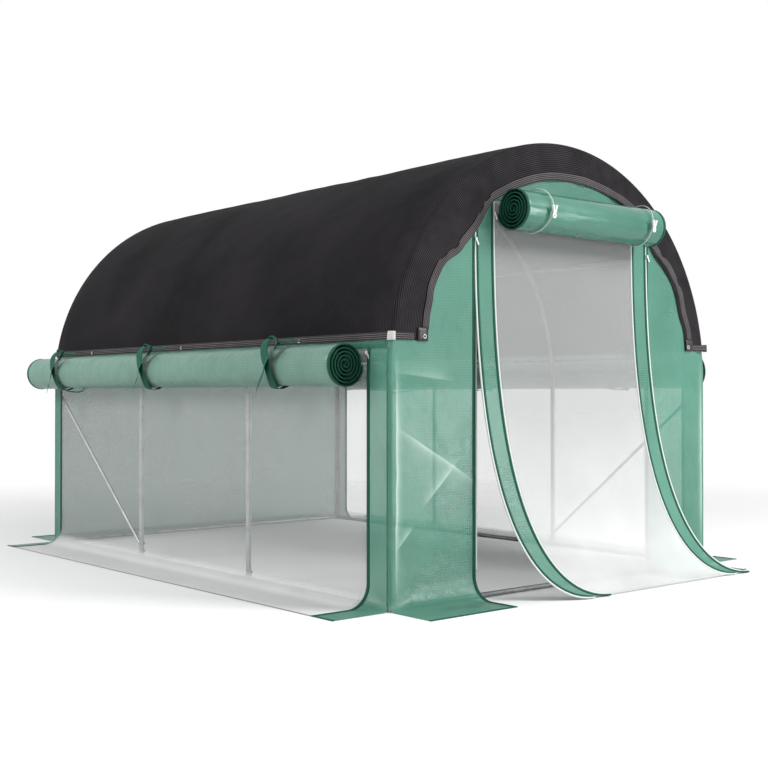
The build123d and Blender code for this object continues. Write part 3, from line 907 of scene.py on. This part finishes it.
# Towards the doorway from the knot, degrees up round the roll, off the roll, and degrees turned edge-on
RIBBON_RUN = (
    (-0.076, -44, 0.046, 64), (-0.045, -31, 0.030, 52), (-0.018, -15, 0.018, 38), (0.000, 4, 0.018, 28),
    (0.018, 26, 0.015, 22), (0.029, 47, 0.016, 38), (0.003, 61, 0.030, 95), (-0.051, 71, 0.033, 172),
    (-0.056, 54, 0.025, 180), (-0.035, 32, 0.013, 180), (-0.014, 14, 0.009, 180), (-0.002, 2, 0.007, 180),
    (0.002, -25, 0.004, 180), (-0.015, -50, 0.003, 180), (-0.050, -80, 0.003, 180),
    (-0.070, -130, 0.002, 180),
)
TOP_TAIL_RUN = ((0.020, 49, 0.014, -50), (0.045, 58, 0.022, -55), (0.078, 61, 0.027, -55),
                (0.115, 63, 0.024, -55), (0.155, 64, 0.018, -55))
LOW_TAIL_RUN = ((-0.005, -62, 0.006, 40), (0.020, -80, 0.010, 50), (0.070, -90, 0.014, 55),
                (0.160, -82, 0.012, 50), (0.260, -64, 0.006, 45))


def smooth_run(stops, per_span):
    """Values along a smooth curve through stops."""
    held = np.array([stops[0], *stops, stops[-1]], float)
    share = np.linspace(0, 1, per_span, endpoint=False)[:, None]
    spans = []
    for a, b, c, d in zip(held, held[1:], held[2:], held[3:]):
        bow = 2 * a - 5 * b + 4 * c - d + share * (3 * (b - c) + d - a)
        spans.append(b + 0.5 * share * (c - a + share * bow))
    return np.concatenate([*spans, held[-1:]])


def ribbon_grid(side, knot, run, width):
    """Points of a flat ribbon that runs over a roll from the knot's place along the tunnel."""
    forward, turn, off, edge_on = smooth_run(run, 8).T
    turn, edge_on = np.radians(turn), np.radians(edge_on)
    out = np.stack([side * np.cos(turn), turn * 0, np.sin(turn)], axis=-1)
    middle = np.stack([turn * 0 + side * roll_across, knot - forward, turn * 0 + roll_up], axis=-1)
    spine = middle + (ROLL_R + off)[:, None] * out
    flat = unit(np.cross(unit(np.gradient(spine, axis=0)), out))
    across = flat * np.cos(edge_on)[:, None] + out * np.sin(edge_on)[:, None]
    return np.stack([spine + across * width * k for k in np.linspace(-0.5, 0.5, 5)])


ribbon = tape_finish("dark_green_ribbon", shade_of(10, 92, 72), pitch=0.0016)
for side, hand in SIDES:
    for count, knot in enumerate(TIE_PLACES):
        name = f"{hand}_ribbon_{count + 1}"
        grid = ribbon_grid(side, knot, RIBBON_RUN, RIBBON_WIDTH)
        tied = sheet_of(name, grid, ribbon, RIBBON_SHEET)
        tail_runs = (TOP_TAIL_RUN, LOW_TAIL_RUN) if knot == TIE_PLACES[-1] else (TOP_TAIL_RUN,)
        tails = []
        for run in tail_runs:
            tail_name = f"{name}_tail_{len(tails) + 1}"
            tails.append(sheet_of(tail_name, ribbon_grid(side, knot, run, TAIL_WIDTH), ribbon, RIBBON_SHEET))
        if count == 0:
            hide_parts(f"{hand}_roll_ties")

# Door roll
# The film door, rolled up outwards over the doorway. Two elastic cords hold it to the gable, each with a
# white cord lock.
DOOR_ROLL_ALPHA = 0.92
CORD_R = 0.0025
CORD_BITE = 0.001
CORD_BRAID = 0.004
CORD_LEAN = 0.012
CORD_DRIFT = 0.018
# Degrees round the roll from its front: where a lock is, and how far short of the gable a cord ends
LOCK_TURN = -6
CORD_GAP = 28
LOCK_RING_R = 0.008
LOCK_WIRE_R = 0.0046
LOCK_LENGTH = 0.052
LOCK_SPREAD = 0.011
LOCK_LINK = 0.004
LOCK_PRONG_GAP = 0.003
LOCK_PRONG_FOOT_SHARE = 0.6
LOCK_TIP_SHARE = 1.35
# Across, where each cord goes round
CORD_PLACES = (-0.3132, 0.4118)

door_low, door_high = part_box("door_roll")
door_roll_y = door_low.y + ROLL_R
door_roll_up = door_low.z + ROLL_R


def over_door(out, up, along):
    """A place on the roll over the doorway."""
    return along, door_roll_y - out, door_roll_up + up


door_grid = roll_grid(over_door, door_low.x, door_high.x, 48, (), seed=2.4)
door_film = film_finish("door_roll_film", shade_of(58, 122, 102), shade_of(98, 154, 136), DOOR_ROLL_ALPHA,
                        roughness=0.2, gloss=0.6, crumple=(1.6, 7.0, 7.0))
door_roll = sheet_of("door_roll_film_sheet", door_grid, door_film)
stands_for(door_roll, "door_roll")
door_tapes = [bound_edge("door_roll", door_grid, which, ROLL_TAPE) for which in ("first_row", "last_row")]


def round_of(radius, sides):
    """The section of a round cord."""
    turns = np.linspace(0, 2 * math.pi, sides, endpoint=False)
    return [(radius * math.cos(t), radius * math.sin(t)) for t in turns]


def cord_finish():
    """A pale braid that runs slantwise round the cord, with painted shade between its strands."""
    made, shader = new_finish("braided_cord", shade_of(208, 220, 214), 0.6)
    across, along = weave_places(shader)
    braid = lines_of(shader, sums(shader, "ADD", across, along), CORD_BRAID, sharpness=1.0)
    feed(shader.inputs["Base Color"], mixed(shader, braid, shade_of(160, 184, 172), shade_of(222, 230, 225)))
    raised(shader, braid, strength=0.4, depth=0.0008)
    return made


def front_of(place):
    """Where the front of a cord lies, a little nearer the roll's middle than its ends."""
    return place - math.copysign(CORD_DRIFT, place)


def add_lock(form, place):
    """A cord lock on the front of the roll: a ring with two prongs that stand up and apart."""
    turn = math.radians(LOCK_TURN)
    out, up = Vector((0, -math.cos(turn), math.sin(turn))), Vector((0, math.sin(turn), math.cos(turn)))
    seat = Vector((front_of(place), door_roll_y, door_roll_up)) + out * (ROLL_R + 2 * CORD_R + LOCK_WIRE_R)
    ring = seat - up * (LOCK_LENGTH / 2 - LOCK_RING_R)
    sides = Vector((1, 0, 0))
    for t in np.linspace(0, 2 * math.pi, 16, endpoint=False):
        spot = ring + (sides * math.cos(t) + up * math.sin(t)) * LOCK_RING_R
        way = up * math.cos(t) - sides * math.sin(t)
        add_drum(form, spot - way * (LOCK_LINK / 2), way, LOCK_WIRE_R, LOCK_WIRE_R, LOCK_LINK, sides=10)
    for hand in (-1, 1):
        foot = ring + up * (LOCK_RING_R * LOCK_PRONG_FOOT_SHARE) + sides * (hand * LOCK_PRONG_GAP)
        tip = seat + up * (LOCK_LENGTH / 2) + sides * (hand * LOCK_SPREAD)
        prong = tip - foot
        add_drum(form, foot, prong, LOCK_WIRE_R, LOCK_WIRE_R * LOCK_TIP_SHARE, prong.length, sides=10)


cord_turns = np.radians(np.linspace(180 - CORD_GAP, CORD_GAP - 180, 60))
cord_braid = cord_finish()
for count, place in enumerate(CORD_PLACES):
    out = np.stack([cord_turns * 0, -np.cos(cord_turns), np.sin(cord_turns)], axis=-1)
    drift = place + (front_of(place) - place) * np.maximum(np.cos(cord_turns), 0)
    middle = np.stack([drift + CORD_LEAN * np.sin(cord_turns), cord_turns * 0 + door_roll_y,
                       cord_turns * 0 + door_roll_up], axis=-1)
    spine = middle + out * (ROLL_R + CORD_R - CORD_BITE)
    across = unit(np.cross(unit(np.gradient(spine, axis=0)), out))
    cord = swept(f"door_cord_{count + 1}", spine, across, out, round_of(CORD_R, 10), cord_braid)
    if count == 0:
        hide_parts("door_roll_cords")


def both_locks(form):
    """A lock on each cord."""
    for place in CORD_PLACES:
        add_lock(form, place)


cord_locks = joined_mesh("door_cord_locks", white_plastic, both_locks)
stands_for(cord_locks, "door_cord_toggles")

# Shade net
# Knitted black net laid over the roof and hemmed all round. It laps down over both ends, where its edge
# is drawn up into scallops.
NET_SHEET = 0.0016
RIB_PITCH = 0.0085
STITCH_PITCH = 0.004
FLAP_DEPTH = 0.15
FLAP_LIFT = 0.010
FLAP_WAVES = 9
FLAP_SEED = (4.4, 4.4, 4.7)
FLAP_HELD_TURN = 0.2
FLAP_LEAN_TURN = 0.3
NET_DENT = 0.006
NET_HELD = 0.12
NET_DENTS = (0.3, 0.42, 0.3)
NET_FINE_DENTS = (0.11, 0.15, 0.11)
# Before the net's ends, where the painted highlight on its ribs starts and where it is full
RIBS_LIT_FROM = 0.13
RIBS_LIT_FULL = 0.01
# Degrees round the arch from the right springing, and the flap's depth there as a share of FLAP_DEPTH
FLAP_EDGE_SHARES = (
    (9.2, 1.04), (15, 1.01), (20, 1.07), (28, 0.99), (36, 1.07), (42, 1.20), (47, 1.19), (57, 0.93),
    (69, 1.01), (80, 1.08), (90, 1.12), (100, 1.13), (110, 1.15), (117, 1.15), (122, 1.14), (126, 1.22),
    (131, 1.40), (138, 1.43), (143, 1.36), (148, 1.14), (154, 1.08), (162, 1.17), (168, 1.25), (170.4, 1.28),
)

net_low, net_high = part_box("shade_net")
net_r = net_high.z - spring - NET_SHEET / 2
net_end = net_high.y - NET_SHEET / 2
net_bend = CORNER_R + net_r - film_r
hem_up = net_low.z
hem_angle = math.asin((hem_up - spring) / net_r)
net_turns = np.linspace(math.pi - hem_angle, hem_angle, 241)


def net_finish():
    """Dark knit with paler ribs, painted paler still where the net bends over the ends and hangs down, as a
    painted highlight.
    """
    made, shader = new_finish("knitted_shade_net", shade_of(38, 37, 40), 0.82, {"Specular IOR Level": 0.06})
    across, along = weave_places(shader)
    places = in_metres(shader)
    stitches = lines_of(shader, across, STITCH_PITCH, sharpness=1.0)
    ribs = lines_of(shader, along, RIB_PITCH, sharpness=2.0)
    knit = sums(shader, "MULTIPLY", ribs, in_range(shader, stitches, 0.7, 1.0))
    length = sums(shader, "ABSOLUTE", metres_along(shader, "Y"))
    rib_highlight_share = share_of(shader, length, net_end - RIBS_LIT_FROM, net_end - RIBS_LIT_FULL)
    clouds = cloudy(shader, places, waves_per_metre=2.2)
    ground = mixed(shader, clouds, shade_of(17, 16, 18), shade_of(33, 31, 34))
    streaks = cloudy(shader, places, waves_per_metre=14.0)
    rib_highlight = sums(shader, "MULTIPLY", knit, in_range(shader, rib_highlight_share, 0.22, 0.75))
    lit = sums(shader, "MULTIPLY", rib_highlight, in_range(shader, streaks, 0.45, 1.0))
    # Painted highlight on the ribs near the ends, over the dark cloudy knit
    feed(shader.inputs["Base Color"], mixed(shader, lit, ground, shade_of(78, 75, 78)))
    raised(shader, knit, strength=0.6, depth=0.0016)
    return made


def flap_depth(angle):
    """How far a flap reaches in from the arch at an angle, along a smooth scalloped edge."""
    angles, shares = (np.array(x, float) for x in zip(*FLAP_EDGE_SHARES))
    slopes = np.gradient(shares, angles)
    at = np.clip(np.degrees(angle), angles[0], angles[-1])
    i = np.clip(np.searchsorted(angles, at) - 1, 0, len(angles) - 2)
    step = angles[i + 1] - angles[i]
    t = (at - angles[i]) / step
    bow = ((2 * t**3 - 3 * t**2 + 1) * shares[i] + (t**3 - 2 * t**2 + t) * step * slopes[i]
           + (3 * t**2 - 2 * t**3) * shares[i + 1] + (t**3 - t**2) * step * slopes[i + 1])
    return bow * FLAP_DEPTH


def flap_place(angle, radius):
    """Across and up of a flap's column at a radius. The lowest columns lean so that the foot is level."""
    lean = np.arcsin(np.clip((hem_up - spring) / radius, -1, 1)) - hem_angle
    right = 1 - eased((angle - hem_angle) / FLAP_LEAN_TURN)
    left = 1 - eased((math.pi - hem_angle - angle) / FLAP_LEAN_TURN)
    at = angle + lean * (right - left)
    return radius * np.cos(at), spring + radius * np.sin(at)


def flap_off(angle, radius):
    """How far a flap stands off the wall. Its edge is loose but its lower corners are held."""
    share = np.clip((net_r - net_bend - radius) / (flap_depth(angle) - net_bend), 0, 1)
    places = np.stack([angle * FLAP_WAVES, angle * 0, angle * 0], axis=-1)
    free = eased((np.minimum(angle, math.pi - angle) - hem_angle) / FLAP_HELD_TURN)
    return FLAP_LIFT * share * free * np.clip(soft_noise(places, 1.0, FLAP_SEED) + 0.4, 0, 1)


def net_grid():
    """Points of the net from the back flap over the roof to the front flap, facing outwards."""
    ends = {}
    for end in (1, -1):
        rows = []
        for share in np.linspace(1, 0, 14)[:-1]:
            radius = net_r - net_bend - (flap_depth(net_turns) - net_bend) * share
            across, up = flap_place(net_turns, radius)
            rows.append(np.stack([across, end * (net_end + flap_off(net_turns, radius)), up], axis=-1))
        for bend in np.linspace(math.pi / 2, 0, 7):
            along = net_end - net_bend * (1 - math.sin(bend))
            across, up = flap_place(net_turns, net_turns * 0 + net_r - net_bend * (1 - math.cos(bend)))
            rows.append(np.stack([across, across * 0 + end * along, up], axis=-1))
        ends[end] = rows
    places = np.linspace(net_end - net_bend, net_bend - net_end, 84)[1:-1]
    skin = [np.stack([net_r * np.cos(net_turns), net_turns * 0 + y, spring + net_r * np.sin(net_turns)], -1)
            for y in places]
    return np.array(ends[1] + skin + ends[-1][::-1])[::-1]


net_flat = net_grid()
dents = soft_noise(net_flat, NET_DENTS, seed=1.7) + 0.5 * soft_noise(net_flat, NET_FINE_DENTS, seed=6.2)
free = eased((net_end - np.abs(net_flat[..., 1])) / NET_HELD) * eased((net_flat[..., 2] - hem_up) / NET_HELD)
net_points = net_flat + normals_of(net_flat) * (NET_DENT * np.clip(dents + 0.4, 0, 1.4) * free)[..., None]
shade_net = sheet_of("shade_net_cloth", net_points, net_finish(), NET_SHEET)
stands_for(shade_net, "shade_net")

# Net webbing
# Grey webbing sewn along the net's edges, with black corner pads and pressed eyelets. A keeper holds the
# hem round each front corner, pale on the left, and small white hooks hang on the side hems.
HEM_SHEET = 0.002
END_HEM = 0.036
SIDE_HEM = 0.031
HEM_LINES = 4.5
HEM_WEAVE = 0.003
HEM_LAP_FROM = 0.93
HEM_SET_IN = 0.022
HEM_SET_TURN = 30
HEM_BULGE = 0.018
HEM_BULGE_REACH = 0.1
HEM_BULGE_FROM = 0.96
PAD = 0.054
PAD_OVER = 0.002
PAD_SHEET = 0.0024
PAD_GAP = 0.001
KEEPER = 0.055
KEEPER_OVER = 0.002
KEEPER_RISE = 0.005
KEEPER_OFF = 0.003
KEEPER_TURN_SHARE = 0.3
HOOK_R = 0.0065
HOOK_WIRE = 0.0016
HOOK_OFF = 0.007
HOOK_RISE = 0.012
HOOK_TURN = (-2.6, 2.2)
EYELET_R = 0.0075
EYELET_WIRE = 0.0026
EYELET_IN = 0.017
EYELET_OFF = 0.0015
# Degrees round the arch where the end hem is gathered, over how many, and how much narrower and thicker
GATHERS = (30, 41, 123.5, 127.5, 142, 147)
GATHER_SPREAD = 1.3
GATHER_IN_SHARE = 0.35
GATHER_OUT = 0.003
# Columns of the net that an end hem stops short by
END_HEM_SHORT = 5
# Along the tunnel, where a hook hangs
HOOK_PLACES = (-0.91, 0.08, 1.04)
# Across, where the inner edge of each corner pad is
PAD_EDGES = {-1: 0.859, 1: 0.895}
ENDS = ((-1, "front"), (1, "back"))


def webbing_finish():
    """A few pale cords along dark grey webbing."""
    made, shader = new_finish("grey_webbing", shade_of(112, 106, 109), 0.8, {"Specular IOR Level": 0.25})
    along, across = weave_places(shader)
    cords = lines_of(shader, across, END_HEM / HEM_LINES, sharpness=3.0)
    weave = in_range(shader, lines_of(shader, along, HEM_WEAVE, sharpness=1.0), 0.8, 1.0)
    mottle = cloudy(shader, in_metres(shader), waves_per_metre=12.0)
    lit = sums(shader, "MULTIPLY", cords, in_range(shader, mottle, 0.6, 1.0))
    feed(shader.inputs["Base Color"], mixed(shader, lit, shade_of(34, 31, 33), shade_of(120, 115, 118)))
    raised(shader, sums(shader, "MULTIPLY", cords, weave), strength=0.6, depth=0.0015)
    return made


webbing = webbing_finish()
pad_black = plastic_finish("black_corner_pad", shade_of(24, 22, 23), 0.4)
pale_grey = plastic_finish("pale_keeper", shade_of(204, 203, 200), 0.5)


def end_hem_grid(end):
    """Points of the webbing along the scalloped edge of one end flap, facing out from the tunnel."""
    angles = net_turns[END_HEM_SHORT:-END_HEM_SHORT]
    degrees = np.degrees(angles)
    narrow = sum(np.exp(-(((degrees - g) / GATHER_SPREAD) ** 2)) for g in GATHERS)
    width = END_HEM * (1 - GATHER_IN_SHARE * np.clip(narrow, 0, 1))
    set_in = HEM_SET_IN * (1 - eased((degrees - HEM_SET_TURN) / HEM_SET_TURN))
    rows = []
    for k in np.linspace(0, 1, 6):
        radius = net_r - flap_depth(angles) + set_in + width * k
        across, up = flap_place(angles, radius)
        off = flap_off(angles, radius) + NET_SHEET / 2 + HEM_SHEET + GATHER_OUT * narrow * k * (1 - k) * 4
        rows.append(np.stack([across, end * (net_end + off), up], axis=-1))
    grid = np.array(rows)
    return grid if end < 0 else grid[:, ::-1]


def side_hem_line(side):
    """The side hem from the back flap's corner, round the side, to the front one: places and facings."""
    out, off = net_r * math.cos(hem_angle), NET_SHEET / 2 + HEM_SHEET
    turn = np.linspace(0, math.pi / 2, 9)
    corner = np.stack([np.sin(turn), np.cos(turn)], axis=-1)
    back = np.array((out - net_bend, net_end - net_bend)) + (net_bend + off) * corner
    side_y = np.linspace(net_end - net_bend, net_bend - net_end, 90)[1:-1]
    flank = np.stack([side_y * 0 + out + off, side_y], axis=-1)
    laps = np.linspace(HEM_LAP_FROM, out - net_bend, 8)[:-1]
    lap = np.stack([laps, laps * 0 + net_end + off], axis=-1)
    run = np.concatenate([lap, back, flank, back[::-1] * (1, -1), lap[::-1] * (1, -1)])
    facing = np.concatenate([lap * 0 + (0, 1), corner, flank * 0 + (1, 0), corner[::-1] * (1, -1),
                             lap * 0 + (0, -1)])
    if side > 0:
        near_corner = np.exp(-(((run[:, 1] + net_end) / HEM_BULGE_REACH) ** 2))
        loose = HEM_BULGE * near_corner * eased((run[:, 0] - HEM_BULGE_FROM) / HEM_BULGE_REACH)
        run = run + facing * loose[:, None]
    spine = np.stack([side * run[:, 0], run[:, 1], run[:, 0] * 0 + hem_up], axis=-1)
    return spine, np.stack([side * facing[:, 0], facing[:, 1], facing[:, 0] * 0], axis=-1)


def hem_grid(spine, facing, width, off=0.0):
    """Points of a strap that stands on a line and leans with the net's curve on the tunnel's side."""
    lean = np.stack([-facing[:, 0] * math.sin(hem_angle), facing[:, 0] * 0, facing[:, 0] * 0 + 1.0], axis=-1)
    return np.stack([spine + facing * off + lean * width * k for k in np.linspace(0, 1, 5)])


def ring_line(centre, radius, one, two, start=0.0, end=2 * math.pi, count=25):
    """Part of a circle, with its own across and up at each point."""
    turn = np.linspace(start, end, count)[:, None]
    out = np.cos(turn) * np.array(one) + np.sin(turn) * np.array(two)
    return np.array(centre) + radius * out, out * 0 + np.cross(one, two), out


trims = []
for end, place in ENDS:
    hem = sheet_of(f"{place}_end_hem", end_hem_grid(end), webbing, HEM_SHEET)
    trims.append(hem)
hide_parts("shade_end_hems")
for side, hand in SIDES:
    spine, facing = side_hem_line(side)
    hem = sheet_of(f"{hand}_side_hem", hem_grid(spine, facing, SIDE_HEM), webbing, HEM_SHEET)
    trims.append(hem)
    if side < 0:
        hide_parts("shade_side_hems")
    from_turn = np.abs(spine[:, 1] + net_end - net_bend * KEEPER_TURN_SHARE)
    front_turn = np.argmin(from_turn + (np.abs(spine[:, 0]) < net_r - 2 * KEEPER))
    near = np.linalg.norm(spine - spine[front_turn], axis=1) < KEEPER / 2
    grid = hem_grid(spine[near] - (0, 0, KEEPER_OVER), facing[near], SIDE_HEM + KEEPER_RISE, KEEPER_OFF)
    keeper = sheet_of(f"{hand}_hem_keeper", grid, pale_grey if side < 0 else webbing, HEM_SHEET)
    trims.append(keeper)
    for count, place in enumerate(HOOK_PLACES):
        centre = (side * (net_r * math.cos(hem_angle) + HOOK_OFF), place, hem_up + HOOK_RISE)
        wire = ring_line(centre, HOOK_R, (0, 1, 0), (0, 0, 1), *HOOK_TURN)
        hook = swept(f"{hand}_hook_{count + 1}", *wire, round_of(HOOK_WIRE, 8), white_plastic)
        trims.append(hook)


def eyelet_finish():
    """Plated metal with a few dull patches."""
    made, shader = new_finish("pressed_eyelet", shade_of(176, 172, 166), 0.35, {"Metallic": 0.9})
    dulling = cloudy(shader, in_metres(shader), waves_per_metre=90.0)
    feed(shader.inputs["Roughness"], in_range(shader, dulling, 0.25, 0.5))
    return made


steel_eyelet = eyelet_finish()
for end, place in ENDS:
    for side, hand in SIDES:
        edge = PAD_EDGES[side]
        face = end * (net_end + NET_SHEET / 2 + 2 * HEM_SHEET + PAD_GAP)
        across = np.linspace(edge - PAD_OVER, edge + PAD, 5) * side
        heights = np.linspace(hem_up - PAD_OVER, hem_up + PAD, 5)
        grid = np.array([[(x, face, z) for x in across[::side * end]] for z in heights])
        pad = sheet_of(f"{place}_{hand}_corner_pad", grid, pad_black, PAD_SHEET)
        trims.append(pad)
        centre = (side * (edge + EYELET_IN), face + end * EYELET_OFF, hem_up + EYELET_IN)
        rim = swept(f"{place}_{hand}_eyelet", *ring_line(centre, EYELET_R, (1, 0, 0), (0, 0, 1)),
                    round_of(EYELET_WIRE, 8), steel_eyelet)
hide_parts("shade_eyelets")

# Floor, light and camera
# A plain pale floor that fades into a white backdrop, under soft studio light, seen from the left of the
# doorway end.
FLOOR_HALF = 30
FLOOR_NEAR = 2.6
FLOOR_FAR = 6.0
FLOOR_DROP = 0.0005
AMBIENT = 0.6
LENS_MM = 56.608
SENSOR_MM = 36
CAMERA_PLACE = (-4.1791, -5.1596, 0.8656)
# Degrees up from straight down, and to the left of straight along the tunnel
CAMERA_TILT = 90.498
CAMERA_TURN = -40.317

ground = bpy.data.meshes.new("floor")
corners = [(x * FLOOR_HALF, y * FLOOR_HALF, 0) for x, y in ((-1, -1), (1, -1), (1, 1), (-1, 1))]
ground.from_pydata(corners, [], [(0, 1, 2, 3)])
floor = bpy.data.objects.new("floor", ground)
floor.location.z = -FLOOR_DROP
scene.collection.objects.link(floor)


def floor_finish():
    """Matt pale floor that fades out with distance."""
    made, shader = new_finish("pale_floor", (0.92, 0.92, 0.92, 1.0), 0.9, {"Specular IOR Level": 0.0})
    inputs = {0: in_metres(shader)}
    away = add_node(shader, "ShaderNodeVectorMath", inputs, operation="LENGTH").outputs["Value"]
    feed(shader.inputs["Alpha"], share_of(shader, away, FLOOR_FAR, FLOOR_NEAR))
    return made


ground.materials.append(floor_finish())

world = bpy.data.worlds.new("studio")
world.use_nodes = True
scene.world = world
backdrop = world.node_tree.nodes["Background"]
path = add_node(backdrop, "ShaderNodeLightPath", {})
seen = path.outputs["Is Camera Ray"]
for kind in ("Is Glossy Ray", "Is Transmission Ray"):
    seen = sums(backdrop, "MAXIMUM", seen, path.outputs[kind])
feed(backdrop.inputs["Color"], (1.0, 1.0, 1.0, 1.0))
feed(backdrop.inputs["Strength"], in_range(backdrop, seen, AMBIENT, 1.0))


def soft_box(name, place, target, width, height, power):
    """A rectangular studio lamp that points at a target."""
    lamp = bpy.data.lights.new(name, "AREA")
    lamp.shape = "RECTANGLE"
    lamp.size = width
    lamp.size_y = height
    lamp.energy = power
    made = bpy.data.objects.new(name, lamp)
    made.location = place
    made.rotation_mode = "QUATERNION"
    made.rotation_quaternion = (Vector(target) - Vector(place)).to_track_quat("-Z", "Y")
    scene.collection.objects.link(made)


soft_box("key_lamp", (2.5, -6.0, 5.0), target=(0, 0, 0.8), width=2.6, height=2.6, power=420)
soft_box("side_lamp", (-6.5, 1.5, 4.5), target=(0, 0, 0.9), width=2.6, height=2.6, power=260)
soft_box("low_lamp", (3.2, -5.6, 1.1), target=(-0.6, -1.5, 0.6), width=0.6, height=1.6, power=60)

camera = bpy.data.objects.new("camera", bpy.data.cameras.new("camera"))
camera.data.sensor_width = SENSOR_MM
camera.data.lens = LENS_MM
camera.location = CAMERA_PLACE
camera.rotation_euler = (math.radians(CAMERA_TILT), 0, math.radians(CAMERA_TURN))
scene.collection.objects.link(camera)
scene.camera = camera
scene.view_settings.view_transform = "Standard"
scene.cycles.transparent_max_bounces = 32
